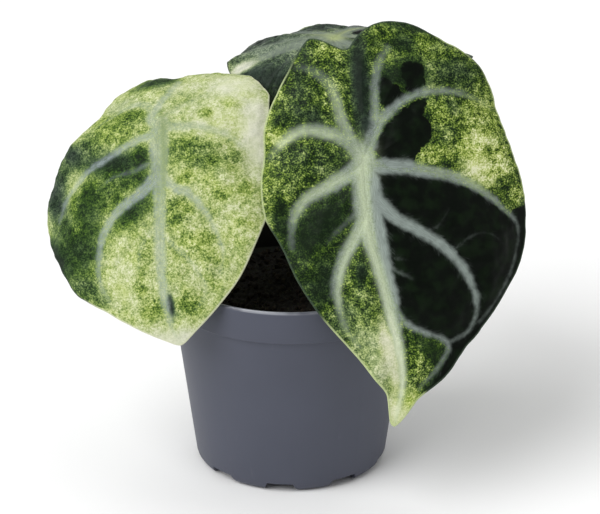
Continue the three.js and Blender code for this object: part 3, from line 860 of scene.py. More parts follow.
def hair_noise(lean, run_scale, gap_scale, detail):
    leaning = calculate(vein_band, "MULTIPLY_ADD", given["Gap"], lean, given["Run"])
    along = calculate(vein_band, "MULTIPLY", leaning, run_scale)
    across = calculate(vein_band, "MULTIPLY", given["Gap"], gap_scale)
    place = add_node(vein_band, "ShaderNodeCombineXYZ", {0: along, 1: across}).outputs[0]
    return noise_value(vein_band, place, 1.0, detail, roughness=0.6)


hairs = hair_noise(lean=-1.3, run_scale=3.4, gap_scale=0.3, detail=2)
long_hairs = hair_noise(lean=-1.6, run_scale=2.2, gap_scale=0.4, detail=2)
strands = hair_noise(lean=-0.5, run_scale=0.34, gap_scale=3.6, detail=3)
wander = noise_value(vein_band, given["Flat"], WANDER_SIZE)
frayed = waver(vein_band, waver(vein_band, given["Gap"], hairs, BAND_FRAY), wander, BAND_WANDER)
inside = calculate(vein_band, "DIVIDE", frayed, given["Feather"])
near = smooth_step(vein_band, waver(vein_band, given["Gap"], wander, WISP_WANDER), *WISP_REACH)
wisps = calculate(vein_band, "MULTIPLY", smooth_step(vein_band, long_hairs, *WISP_RANGE), near)
vein_band.links.new(smooth_step(vein_band, inside, 1.0, -1.0), result["Band"])
vein_band.links.new(wisps, result["Wisps"])
vein_band.links.new(strands, result["Strands"])


def read_attribute(tree, name, output="Fac"):
    return add_node(tree, "ShaderNodeAttribute", attribute_name=name).outputs[output]


# Variegation and veins of one side of a blade, as a colour, with the masks that its gloss needs
def blade_colour(tree, palette):
    flat = read_attribute(tree, "flat", "Vector")
    cell_inputs = {"Flat": flat}
    for socket in ("Tone", "Speckle", "Sector"):
        cell_inputs[socket] = read_attribute(tree, socket.lower())
    cells = add_node(tree, "ShaderNodeGroup", cell_inputs, node_tree=variegation).outputs
    vein_inputs = {"Flat": flat, "Feather": palette["feather"]}
    for socket in ("Gap", "Run"):
        vein_inputs[socket] = read_attribute(tree, f"vein_{socket.lower()}")
    veins = add_node(tree, "ShaderNodeGroup", vein_inputs, node_tree=vein_band).outputs

    tissue = colour_ramp(tree, cells["Tone"], palette["tissue"])
    smoky = colour_ramp(tree, cells["Tone"], palette["haze"])
    haze = waver(tree, read_attribute(tree, "haze"), cells["Drift"], HAZE_DRIFT, clamp=True)
    colour = mix_colours(tree, haze, tissue, smoky)
    solid = mix_colours(tree, smooth_step(tree, cells["Drift"], *SOLID_DRIFT), *palette["solid"])
    colour = mix_colours(tree, cells["Solid"], colour, solid)

    surroundings = read_attribute(tree, "pale")
    pale = smooth_step(tree, surroundings, *palette["pale_range"])
    silver = mix_colours(tree, pale, palette["silver"], palette["vein"])
    strands = smooth_step(tree, veins["Strands"], *STRAND_RANGE)
    strands = calculate(tree, "MULTIPLY_ADD", strands, STRAND_CONTRAST, STRAND_SHADE)
    silver = mix_colours(tree, 1.0, silver, strands, "MULTIPLY")
    wisps = calculate(tree, "MULTIPLY", veins["Wisps"], palette["wisps"])
    covered = calculate(tree, "MAXIMUM", veins["Band"], wisps)
    covered = calculate(tree, "MULTIPLY", covered, read_attribute(tree, "vein_cover"))
    mixed_cells = calculate(tree, "SUBTRACT", 1.0, cells["Solid"])
    specks = calculate(tree, "MULTIPLY", smooth_step(tree, cells["Flecks"], *SPECK_RANGE), mixed_cells)
    see_through = calculate(tree, "MULTIPLY_ADD", specks, SPECKS_IN_SILVER, 1.0)
    colour = mix_colours(tree, calculate(tree, "MULTIPLY", covered, see_through), colour, silver)

    heart = calculate(tree, "MULTIPLY", read_attribute(tree, "heart"), strands)
    see_through = calculate(tree, "MULTIPLY_ADD", specks, SPECKS_IN_HEART, 1.0)
    heart_colour = mix_colours(tree, pale, palette["heart"], palette["pale_heart"])
    colour = mix_colours(tree, calculate(tree, "MULTIPLY", heart, see_through), colour, heart_colour)
    edge = smooth_step(tree, read_attribute(tree, "margin"), palette["edge_width"], EDGE_CORE)
    pale_edge = smooth_step(tree, surroundings, *palette["edge_range"])
    edge_colour = mix_colours(tree, pale_edge, palette["dark_edge"], palette["edge"])
    colour = mix_colours(tree, calculate(tree, "MULTIPLY", edge, EDGE_STRENGTH), colour, edge_colour)
    return colour, veins["Band"], flat


def blade_material(name, palette):
    material, tree, shader = new_material(name, Specular_IOR_Level=0.05)
    colour, band, flat = blade_colour(tree, palette)
    tree.links.new(colour, shader["Base Color"])
    skin = noise_value(tree, flat, SKIN_SIZE, detail=3, roughness=0.6)
    uneven = waver(tree, palette["roughness"], noise_value(tree, flat, GLOSS_CLOUD_SIZE), GLOSS_CLOUD)
    tree.links.new(calculate(tree, "MULTIPLY_ADD", band, BAND_ROUGHNESS, uneven), shader["Roughness"])
    height = calculate(tree, "MULTIPLY_ADD", band, BAND_RELIEF, skin)
    add_bump(tree, shader, height, strength=0.4, depth=palette["bump_depth"])
    return material


# A blade whose upper face has its own colours, over the underside that all three blades share
def new_blade(side, leaf, palette):
    face = blade_material(f"blade_face_{side}", palette)
    name = f"leaf_blade_{side}"
    return new_object(name, blade_mesh(name, leaf), face, blade_underside)


under_palette = {
    "tissue": [
        (0.0, (104, 120, 92)), (0.35, (128, 147, 100)),
        (0.65, (168, 184, 128)), (1.0, (214, 215, 180)),
    ],
    "haze": [
        (0.0, (112, 126, 108)), (0.5, (146, 158, 130)), (1.0, (206, 208, 186)),
    ],
    "solid": ((88, 104, 80), (104, 120, 90)),
    "feather": 1.2,
    "wisps": 0.0,
    "pale_range": (0.2, 0.7),
    "silver": (148, 164, 126),
    "vein": (190, 200, 154),
    "heart": (192, 204, 152),
    "pale_heart": (204, 212, 170),
    "dark_edge": (128, 144, 108),
    "edge": (190, 200, 150),
    "edge_width": 0.7,
    "edge_range": (0.3, 0.5),
    "roughness": 0.5,
    "bump_depth": 0.12,
}
blade_underside = blade_material("blade_underside", under_palette)


# Right leaf
# The largest blade, held upright to the light. Black-green sectors with silver veins fill the right of
# its midrib, and the left lobe and the tip are specked with lime and cream.
RIGHT_LEAF = {
    "hub": (25.6, -34, 130.2),
    "face": 5, "tilt": 24, "roll": 4,
    "arch": 14, "lobe": 30, "curl_minus": 30, "curl_plus": 30,
    "bulge": 2.2, "wave": 0.7, "wave_count": 9, "wave_phase": 0.6, "seed": 1.0,
    "outline": [
        (1.9, 95.3), (2.9, 94.8), (4.7, 93.3), (7.2, 90.5), (9.7, 87.4), (12, 85.7), (17.1, 82.8),
        (21.6, 80), (25, 76.9), (29.5, 71.7), (35, 67.5), (43, 60), (49.7, 52.1), (56.3, 44.1),
        (60.6, 36), (61.9, 30), (62, 22.3), (59.6, 13), (56.6, 4), (54.5, -5.6), (53.8, -16), (50.4, -26),
        (43, -36.6), (29, -46), (22, -49), (14, -49.5), (7.5, -47.5), (3, -44.5), (-0.5, -41),
        (-4, -41.5), (-12, -45.5), (-15.5, -44), (-22.5, -35), (-32, -18), (-36, 0), (-36.6, 9),
        (-36.6, 16), (-35.9, 19.5), (-32.2, 28), (-26.3, 42), (-19.5, 55), (-9.2, 69), (-6, 73.6),
        (-3.2, 78), (-0.9, 81.2), (0.4, 84), (0.62, 88), (0.7, 92.3), (1, 94.4),
    ],
    "veins": [
        (1.6, [(0, 0, 4, 0.9), (-0.3, 10, 4.8, 0.95), (-0.2, 20, 4.9, 0.95), (0.7, 28, 4.3, 0.95),
               (1.8, 34, 3.5, 0.95), (2.8, 41, 3.1, 0.95), (4.3, 51, 2.8, 0.95), (4.9, 58, 2.3, 0.9),
               (5.8, 66, 1.7, 0.9), (6.3, 75, 1.2, 0.85), (5.6, 82, 0.9, 0.7), (4.1, 88, 0.6, 0.5),
               (2.4, 93.5, 0.4, 0.3)]),
        (0.6, [(0, 0, 0.5, 0.4), (-2, -14, -1, 0.2), (-2, -28, -2, 0.01), (-0.5, -40, -2, 0.01)]),
        (1.0, [(0, 0, 2.4, 0.85), (3.5, -6.5, 2, 0.8), (5.6, -14, 1.5, 0.8), (6.6, -24, 1.3, 0.7),
               (9, -33, 1.3, 0.55), (13.5, -40, 1.1, 0.3)]),
        (0.9, [(3.5, -7.5, 2, 0.9), (8, -13.5, 1.7, 0.9), (14.5, -18, 1.3, 0.9), (22, -21.5, 1.2, 0.85),
               (31, -22.5, 1.2, 0.7), (39, -21.5, 1, 0.5), (46, -19, 0.7, 0.3), (51, -16, 0.4, 0.2)]),
        (1.2, [(0, 3, 2.6, 0.95), (11, 4, 2.4, 0.95), (21.5, 6.5, 2, 0.95), (31.5, 9.5, 1.8, 0.9),
               (40, 13.5, 1.5, 0.9), (48, 19.5, 1, 0.85), (55, 26, 0.6, 0.7), (57.8, 29, 0.3, 0.5),
               (57.6, 33.5, 0.2, 0.45), (55.5, 39, 0.2, 0.4), (51.7, 46.4, 0.2, 0.4), (46.4, 53.8, 0.2, 0.35),
               (41.6, 58.9, 0.2, 0.35), (37, 62.6, 0.3, 0.4)]),
        (1.2, [(2, 15, 2.8, 0.95), (9, 22, 2.1, 0.95), (16.5, 27, 1.7, 0.95), (24, 32.5, 1.6, 0.95),
               (31, 40.5, 1.5, 0.9), (35, 48.5, 1.2, 0.9), (36.6, 56.5, 0.8, 0.8), (34.5, 62.5, 0.5, 0.7),
               (31, 66, 0.3, 0.6), (24.6, 67.9, 0.4, 0.6)]),
        (0.9, [(4.8, 54, 1.6, 0.9), (10, 60, 0.9, 0.85), (17, 64, 0.7, 0.85), (22.5, 66.8, 0.8, 0.8),
               (24.3, 69.2, 0.7, 0.8), (21.9, 73.3, 0.6, 0.75), (19.4, 76.1, 0.5, 0.7), (16.5, 79, 0.4, 0.65),
               (13.4, 81.1, 0.3, 0.55), (11.4, 83.4, 0.2, 0.4)]),
        (1.0, [(0, 0, 2.8, 0.8), (-3.5, -6, 2.3, 0.72), (-5.8, -12, 1.9, 0.58), (-7.4, -21, 1.9, 0.42),
               (-9.4, -28, 1.7, 0.36), (-14, -33.5, 1.5, 0.28), (-19, -36, 1.2, 0.14)]),
        (1.0, [(0, 0, 2.8, 0.8), (-4.5, -6, 2.6, 0.7), (-11, -10, 2.3, 0.62), (-17.5, -12, 2.2, 0.52),
               (-23.5, -11.5, 2, 0.46), (-29, -8, 1.7, 0.34), (-33, -4.5, 1.4, 0.2)]),
        (1.0, [(0, 1.5, 3.2, 0.95), (-5, 4.5, 2.8, 0.9), (-13, 8.5, 2.4, 0.8), (-20, 11.5, 2.1, 0.7),
               (-25.5, 16, 1.7, 0.6), (-28, 22.5, 1.2, 0.45), (-28.5, 29, 0.8, 0.25)]),
        (1.0, [(1, 17, 2.6, 0.95), (-3, 23, 2.4, 0.95), (-7.5, 30, 2.1, 0.9), (-12, 36.5, 1.9, 0.85),
               (-14, 43, 1.6, 0.8), (-14, 51, 1.1, 0.65), (-11.5, 60, 0.7, 0.45), (-7, 67, 0.4, 0.2)]),
        (0.4, [(0, 16.5, 0.8, 0.5), (-6.5, 20.5, 0.7, 0.45), (-11.5, 24, 0.3, 0.35), (-16, 28.5, 0, 0.15)]),
        (0.4, [(4, 38, 0.9, 0.6), (7, 40.2, 0.4, 0.5), (10, 42.2, 0, 0.3), (12.5, 43.8, -0.3, 0.1)]),
        (0.3, [(4.5, 35.5, 0.2, 0.35), (8, 36.2, -0.1, 0.22), (11.5, 37, -0.3, 0.08)]),
        (0.3, [(20, 29, -0.2, 0.3), (25, 25, -0.3, 0.22), (28, 20.5, -0.4, 0.15)]),
        (0.3, [(29, 36, 0, 0.35), (34, 32, -0.2, 0.25), (40, 30.5, -0.3, 0.2), (46, 33, -0.4, 0.15),
               (50, 38, -0.5, 0.08)]),
    ],
    "hearts": [
        [(0, 0, 2.4, 0.6), (-1.2, 6.8, 2.4, 0.8), (-1.5, 14.5, 2.4, 0.85), (-1.4, 23.2, 2.3, 0.85),
         (-0.4, 32, 2, 0.85), (1.2, 38.6, 1.9, 0.85), (3, 48, 1.8, 0.85), (4.4, 59, 1.6, 0.85),
         (5.6, 68, 1.3, 0.8), (6.2, 75.4, 1.1, 0.75), (5.5, 82.6, 1, 0.65), (4, 88, 0.9, 0.45),
         (2.4, 94, 0.8, 0.3)],
        [(-0.5, -3, 4, 0.4), (0, 3, 4, 0.4)],
        [(-3, 23, 1.8, 0.5), (-6.5, 28, 1.7, 0.7), (-10, 34, 1.6, 0.65), (-13, 42, 1.3, 0.55),
         (-14, 50, 1, 0.35)],
        [(-5, 4.4, 1.8, 0.2), (-9, 6.2, 1.8, 0.6), (-15, 9.2, 1.6, 0.55), (-22, 12.5, 1.4, 0.45),
         (-27, 19, 1, 0.25)],
        [(-4, -8, 1.8, 0.1), (-6, -13, 1.7, 0.25), (-7, -20, 1.5, 0.25), (-8, -26, 1.4, 0.1)],
        [(-6, -7, 1.8, 0.1), (-11, -9.5, 1.8, 0.45), (-20, -12, 1.7, 0.5), (-29, -8, 1.4, 0.4)],
    ],
    "dark_sectors": [
        [(4, -3), (9, -11), (15, -15.5), (20, -18.5), (24.8, -20), (23.4, -16), (22, -13), (23.8, -11),
         (24.8, -8), (24.2, -5), (23, -3), (20, -1), (18, 2), (16.5, 5), (8, 4)],
        [(3, 4), (12, 6), (22, 8), (32, 11.5), (40, 15.5), (47.5, 20.5), (54, 26), (57, 23.5), (66, 22),
         (68, 45), (58, 62), (40, 76), (22, 92), (13, 86), (17.5, 80.5), (21, 77), (24.5, 71), (22, 67),
         (16, 63.5), (11, 61), (7.5, 55), (4.5, 46), (2.5, 36), (1.5, 24), (1, 14)],
        [(16.2, -27.6), (17, -31), (19, -33.4), (21, -32.6), (23.4, -33.4), (25.4, -30.6), (24.4, -28),
         (25.2, -25), (22.6, -23), (19.6, -22.2), (17.4, -23.4), (18, -25.8)],
        [(8, -19), (8.2, -24.6), (10, -28.6), (11.8, -27.8), (12.4, -25.4), (14.4, -24.6), (16.4, -22.2),
         (19, -20.6), (14.6, -18.8), (10.4, -15.8)],
    ],
    "ground": (0.27, 0.5, 0.05),
    "washes": [
        # The narrow dark wash at -20, -24 is painted shade of a fold in the left lobe
        (-15, -27, 14, 14, 0, 0.24, 0.5, 0.05), (-20, -24, 2.5, 14, 12, 0.15, 0.4, 0.25),
        (-16, -40, 1, 9, 6, 0.1, 0.3, 0.2), (-7, -35, 0.8, 5, 3, 0.1, 0.3, 0.2),
        (-7, -40, 6, 4, 0, 0.42, 0.6, 0), (-30, -22, 3, 16, 18, 0.42, 0.45, 0),
        (-29, -11, 6, 4, 0, 0.6, 0.4, 0), (-34, 6, 3, 12, 0, 0.42, 0.4, 0),
        (-16, -16, 3, 4, 0, 0.1, 0.3, 0.4), (-27, -17, 3, 3, 0, 0.14, 0.4, 0.1),
        (-17, -1, 12, 5, 8, 0.2, 0.48, 0.15), (-8, 1, 3, 4, 0, 0.14, 0.38, 0.1),
        (-30, 8, 5, 5, 0, 0.36, 0.5, 0.05), (-26, 33, 6, 14, 22, 0.13, 0.28, 0.05),
        (-31, 20, 3, 9, 0, 0.08, 0.22, 0.1), (-16, 21, 13, 7, -40, 0, 0.12, 0.05),
        (-5, 40, 1.8, 4, 8, 0.02, 0.08, 0.3), (-19, 42, 5, 9, 14, 0.05, 0.18, 0.2),
        (-23, 36, 4, 5, 0, 0.14, 0.36, 0), (-11, 29, 3, 5, 30, 0.12, 0.4, 0),
        (-4, 33, 3, 3, 0, 0.2, 0.48, 0), (-6, 52, 5, 8, 10, 0.36, 0.46, 0.2),
        (-13, 56, 4, 6, 20, 0.32, 0.36, 0.4), (-6, 64, 6, 7, 20, 0.54, 0.34, 0.45),
        (0, 73, 6, 9, 8, 0.7, 0.26, 0.6), (1.9, 66, 2.8, 10, -10, 0.94, 0.14, 0.6),
        (3.6, 78, 1.8, 7, 4, 0.88, 0.18, 0.6), (3, 90, 7, 8, 0, 0.86, 0.14, 0.5),
        (8, 86, 4, 5, -30, 0.6, 0.3, 0), (12, 67, 4, 4, 0, 0.14, 0.3, 0), (12, 73, 4, 6, 0, 0.32, 0.6, 0),
        (18, 70, 4, 6, -30, 0.1, 0.16, 0), (20.2, 78.4, 2.2, 8, 47, 0.04, 0.12, 0.3),
        (9, 55, 2.5, 5, 0, 0.2, 0.45, 0), (14, -42, 12, 6, 0, 0.24, 0.45, 0),
        (20, -41, 5, 3, 20, 0.1, 0.22, 0.3), (27, -40, 5, 5, 0, 0.4, 0.5, 0),
        (35, -37, 6, 4, 20, 0.38, 0.5, 0.1), (27, -29, 2.5, 6, 0, 0.52, 0.5, 0.3),
        (37, -29, 9, 7, 0, 0.18, 0.4, 0.25), (48, -24, 4, 6, -20, 0.34, 0.45, 0.1),
        (12, -36, 3, 3, 0, 0.34, 0.5, 0), (-8.6, -24, 3.6, 9, 10, 0.36, 0.55, 0.1),
        # The black wash at 1.9, -27 is painted shade in the crease that runs from the stalk towards the notch
        # between the lobes
        (1.9, -27, 3.2, 19, 3, 0, 0.06, 0.6), (2.4, -11, 2.2, 4, 0, 0.05, 0.1, 0.9),
        (20, -28.6, 6.2, 6, 0, 0, 0.07, 0.1), (12, -25, 4.6, 7, 0, 0.01, 0.12, 0.1),
        (14.5, -24, 2.8, 1.4, 20, 0.24, 0.4, 0), (29, -14, 4, 5, 0, 0.48, 0.6, 0),
        (35, -16, 4, 3, 0, 0.22, 0.45, 0.2), (33, -5, 6, 4, 0, 0.34, 0.55, 0.1),
        (45, -13, 9, 7, 0, 0.56, 0.55, 0), (24, 1, 7, 3.5, 0, 0.56, 0.5, 0),
        (42, -1, 9, 6, 0, 0.74, 0.45, 0), (42.5, 8, 7.5, 4.8, 30, 0.93, 0.34, 0.2),
        (50, 7, 6, 7, 0, 0.68, 0.6, 0), (51, 14, 3, 3, 0, 0.22, 0.5, 0),
        (46, 1.5, 1.8, 2.2, 0, 0.32, 0.4, 0), (57, 18, 3, 5, 0, 0.46, 0.6, 0),
        (57.5, -6, 2.2, 9, -8, 0.2, 0.35, 0.4), (28, -47, 16, 2, 9, 0.1, 0.25, 0.2),
        (50, -31, 2, 9, -30, 0.12, 0.3, 0.2),
    ],
    "dark_edges": [(-10, -44, 7), (0, -42, 5), (11, -50, 8), (23, -50, 7)],
    "lifts": [],
}
green_haze = [
    (0.0, (26, 34, 30)), (0.15, (50, 62, 54)), (0.35, (86, 100, 84)),
    (0.6, (140, 152, 128)), (0.8, (186, 190, 168)), (1.0, (218, 218, 200)),
]
right_palette = {
    "tissue": [
        (0.0, (18, 30, 15)), (0.12, (32, 50, 22)), (0.26, (54, 76, 28)),
        (0.42, (92, 116, 42)), (0.6, (144, 163, 74)),
        (0.8, (194, 204, 126)), (1.0, (226, 229, 184)),
    ],
    "haze": green_haze,
    "solid": ((7, 12, 7), (14, 25, 12)),
    "feather": 1.2,
    "wisps": 0.15,
    "pale_range": (0.16, 0.46),
    "silver": (138, 149, 143),
    "vein": (160, 175, 142),
    "heart": (180, 194, 158),
    "pale_heart": (216, 224, 196),
    "dark_edge": (62, 76, 62),
    "edge": (186, 198, 146),
    "edge_width": 0.6,
    "edge_range": (0.2, 0.32),
    "roughness": 0.42,
    "bump_depth": 0.1,
}
leaf_right = new_blade("right", RIGHT_LEAF, right_palette)
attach(leaf_right, "root")
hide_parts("leaf_right")


# Left leaf
# The palest blade, with a cream half beside the other leaf and grey-green specks along its outer margin.
# It droops over the pot's rim, so its lobes turn away over the top.
LEFT_LEAF = {
    "hub": (-47, -1, 131),
    "face": -20, "tilt": 42.5, "roll": 17,
    "arch": 32, "lobe": 101, "curl_minus": 38, "curl_plus": 24,
    "bulge": 1.4, "wave": 0.6, "wave_count": 8, "wave_phase": 2.1, "seed": 2.0,
    "outline": [
        (0, 81), (3.5, 78.5), (13.5, 70.5), (23.5, 60.5), (31, 48.5), (35.7, 39.5), (37, 35),
        (37.8, 26.5), (38, 15.5), (39.5, -5.5), (38.5, -13), (31, -24.5), (25.5, -28.5), (19.5, -31),
        (13.5, -31), (8, -29), (4, -26), (1, -25.5), (-3, -28.5), (-8, -31.5), (-14, -30.5), (-19.5, -25),
        (-26.6, -12.6), (-32, -6), (-38, 0.5), (-44, 6), (-50.6, 14.4), (-53.3, 20.5), (-54.5, 27),
        (-52.5, 34), (-45.5, 49), (-42, 55.5), (-37, 60.5), (-24, 68.5), (-10.5, 76.5), (-5, 79.5),
        (-2, 81),
    ],
    "veins": [
        (1.5, [(0, 0, 3.2, 0.75), (-0.6, 6, 3.5, 0.8), (-0.8, 12, 3.2, 0.85), (-1.2, 20, 2.6, 0.85),
               (-1.9, 30, 2.2, 0.85), (-2.8, 40, 2, 0.85), (-3.5, 50, 1.8, 0.85), (-4.1, 60, 1.6, 0.85),
               (-3.9, 68, 1.3, 0.75), (-2.8, 75, 0.8, 0.55), (-1.2, 80, 0.4, 0.3)]),
        (0.6, [(-1.5, 2.5, 1.2, 0.5), (-3.2, -1.4, 1.6, 0.8), (-2, -5, 1.7, 0.85), (1, -10, 1.4, 0.8),
               (3.5, -16, 1.2, 0.7), (5.4, -22, 1, 0.6)]),
        (0.8, [(0, -1, 1.6, 0.5), (-4.5, -8, 1.6, 0.5), (-10, -11, 1.5, 0.45), (-15, -10.5, 1.2, 0.4),
               (-21, -8.5, 0.8, 0.3), (-28, -5, 0.4, 0.15)]),
        (1.0, [(0, 0.5, 1.8, 0.9), (-3, 4, 1.7, 0.9), (-8, 5, 1.3, 0.9), (-15, 7, 1.2, 0.9),
               (-23, 10, 1.1, 0.9), (-30, 12, 1.1, 0.85), (-39.5, 18, 1, 0.75), (-44, 23, 0.8, 0.6),
               (-47, 28, 0.6, 0.4)]),
        (1.1, [(-1.5, 20, 2.3, 0.95), (-8.5, 25, 1.9, 0.95), (-15, 28.5, 1.6, 0.95), (-20.5, 32, 1.5, 0.95),
               (-25, 37.5, 1.5, 0.9), (-28, 44, 1.3, 0.8), (-29.5, 54, 1, 0.55), (-26.5, 62, 0.6, 0.3)]),
        (0.8, [(0, 0, 1.8, 0.7), (3, 2, 1.8, 0.7), (10, 2.5, 1.5, 0.7), (17.5, 4.5, 1.3, 0.6),
               (24, 7.5, 1.1, 0.5), (28.5, 11.5, 0.8, 0.35), (33, 17, 0.5, 0.2)]),
        (0.8, [(0, -2, 1, 0.3), (4.5, -4, 1, 0.3), (10, -7, 0.8, 0.25), (16.5, -11, 0.6, 0.2),
               (26, -25, 0.2, 0.1)]),
        (1.0, [(-1, 21.5, 2, 0.9), (4, 25, 1.7, 0.9), (9, 28, 1.4, 0.85), (13, 33.5, 1.2, 0.8),
               (16, 39.5, 1, 0.7), (18, 45, 0.8, 0.6), (19, 51, 0.6, 0.45), (17, 58, 0.3, 0.25)]),
        (0.8, [(-3.5, 39.5, 1.2, 0.5), (-1, 43, 1, 0.45), (3, 47.5, 0.8, 0.4), (7, 52.5, 0.7, 0.35),
               (10, 58.5, 0.6, 0.35), (11, 64, 0.6, 0.35), (7, 70, 0.4, 0.2)]),
        (0.4, [(-1, 12, 0.7, 0.5), (-4.5, 15, 0.5, 0.45), (-11, 17, 0.4, 0.4), (-19.5, 18, 0.2, 0.3),
               (-25.5, 21, 0, 0.15)]),
        (0.4, [(-3.5, 38, 0.8, 0.35), (-8, 42, 0.6, 0.35), (-11, 47, 0.5, 0.3), (-12, 53, 0.3, 0.2)]),
    ],
    "hearts": [
        [(1.2, -2, 1.4, 0.6), (1.2, 6, 1.7, 0.8), (1, 14, 1.6, 0.75), (0.2, 22, 1.2, 0.55),
         (-0.6, 30, 1, 0.3), (-1.8, 40, 0.9, 0.1)],
        [(1, -4, 2.6, 0.5), (2, 0, 2.6, 0.5)],
        [(-4, 36, 0.8, 0.3), (-10, 41, 0.9, 0.35), (-17, 46, 1, 0.35), (-22, 50, 1, 0.3)],
    ],
    "dark_sectors": [
        [(-57, 26), (-53, 33), (-49, 42), (-44, 51), (-47, 56), (-58, 42)],
    ],
    "ground": (0.62, 0.32, 0.25),
    "washes": [
        (-17, -3, 14, 8, 20, 0.4, 0.38, 0), (-11, -4, 4, 3, 0, 0.24, 0.4, 0),
        (-16, -14, 9, 4, 20, 0.66, 0.24, 0.6), (-3, -23, 9, 5, 0, 0.1, 0.2, 0.3),
        (-30, 4, 6, 6, 20, 0.26, 0.38, 0.3), (-37, 4, 6, 4, 55, 0.12, 0.2, 0.8),
        (-18, 12.5, 15, 5, 12, 0.04, 0.14, 0.4), (-8, 11, 4, 4, 0, 0.1, 0.28, 0),
        (-13, 19, 11, 4, 10, 0.16, 0.32, 0), (-25, 23, 11, 7, 15, 0.2, 0.36, 0),
        (-31, 28, 6, 9, 0, 0.1, 0.26, 0.1), (-39, 23, 4, 4, 0, 0.4, 0.34, 0),
        (-14, 34, 13, 4.5, -41, 0.05, 0.22, 0), (-43, 10, 4.5, 6, 35, 0.19, 0.32, 0.5),
        (-48, 18, 6, 12, -15, 0.12, 0.2, 0.8), (12, -11, 12, 9, 0, 0.62, 0.28, 0.4),
        (-44, 31, 6, 4, 10, 0.24, 0.36, 0.2), (-38, 41, 12, 12, 0, 0.07, 0.24, 0.1),
        (-36, 33, 3, 4, 0, 0.26, 0.36, 0), (-48, 42, 4, 10, -25, 0.02, 0.1, 0.4),
        (-31, 51, 4, 3, 0, 0.38, 0.4, 0), (-36, 56, 7, 5, 20, 0.24, 0.4, 0.3),
        (-29, 60, 4, 4, 20, 0.28, 0.34, 0.3), (-15, 44, 10, 8, 30, 0.64, 0.34, 0.2),
        (-20, 56, 9, 10, 20, 0.7, 0.28, 0.3), (-8.5, 46, 2.5, 5, 0, 0.42, 0.4, 0),
        (-12, 59, 3, 5, 0, 0.44, 0.4, 0), (-8, 67, 5, 4, 0, 0.46, 0.4, 0),
        (4, 34, 5, 6, -25, 0.4, 0.42, 0), (10, 46, 7, 6, -20, 0.54, 0.4, 0),
        (5, 68, 5, 5, 20, 0.42, 0.42, 0), (-2.1, 67, 1.5, 4.5, 0, 0.04, 0.04, 0.9),
        (14, 56, 6, 6, 30, 0.58, 0.36, 0.2), (25, 42, 8, 8, 0, 0.66, 0.34, 0.2),
        (12, 13, 9, 6, 10, 0.26, 0.44, 0), (26, 17, 7, 2.5, -10, 0.42, 0.4, 0.1),
        (12, 23, 8, 3, 20, 0.56, 0.34, 0), (24, 29, 9, 5, 0, 0.56, 0.36, 0.1),
        (24, 2, 17, 7, 0, 0.76, 0.22, 0.3), (17, -1.5, 3, 2, 0, 0.46, 0.34, 0),
        (28, -5, 8, 2.5, 0, 0.66, 0.28, 0.2), (35, 8, 6, 17, 0, 0.92, 0.1, 0.8),
        (26, -15, 11, 8, 0, 0.86, 0.12, 0.6), (12, -18, 8, 6, 0, 0.74, 0.24, 0.4),
        (-3, 79, 10, 4, 0, 0.86, 0.12, 0.8),
    ],
    "dark_edges": [],
    "lifts": [(-20, -20, 12, -2.6), (10, -20, 12, -1.1)],
}
left_palette = {
    "tissue": [
        (0.0, (24, 38, 20)), (0.14, (44, 68, 28)), (0.3, (76, 102, 40)),
        (0.48, (124, 146, 66)), (0.66, (176, 188, 110)),
        (0.84, (204, 211, 156)), (1.0, (216, 217, 186)),
    ],
    "haze": green_haze,
    "solid": ((26, 38, 34), (40, 56, 40)),
    "feather": 1.0,
    "wisps": 0.2,
    "pale_range": (0.2, 0.6),
    "silver": (136, 148, 148),
    "vein": (160, 173, 150),
    "heart": (118, 137, 88),
    "pale_heart": (124, 141, 94),
    "dark_edge": (58, 72, 60),
    "edge": (202, 205, 176),
    "edge_width": 0.5,
    "edge_range": (0.3, 0.5),
    "roughness": 0.46,
    "bump_depth": 0.1,
}
leaf_left = new_blade("left", LEFT_LEAF, left_palette)
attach(leaf_left, "root")
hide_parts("leaf_left")


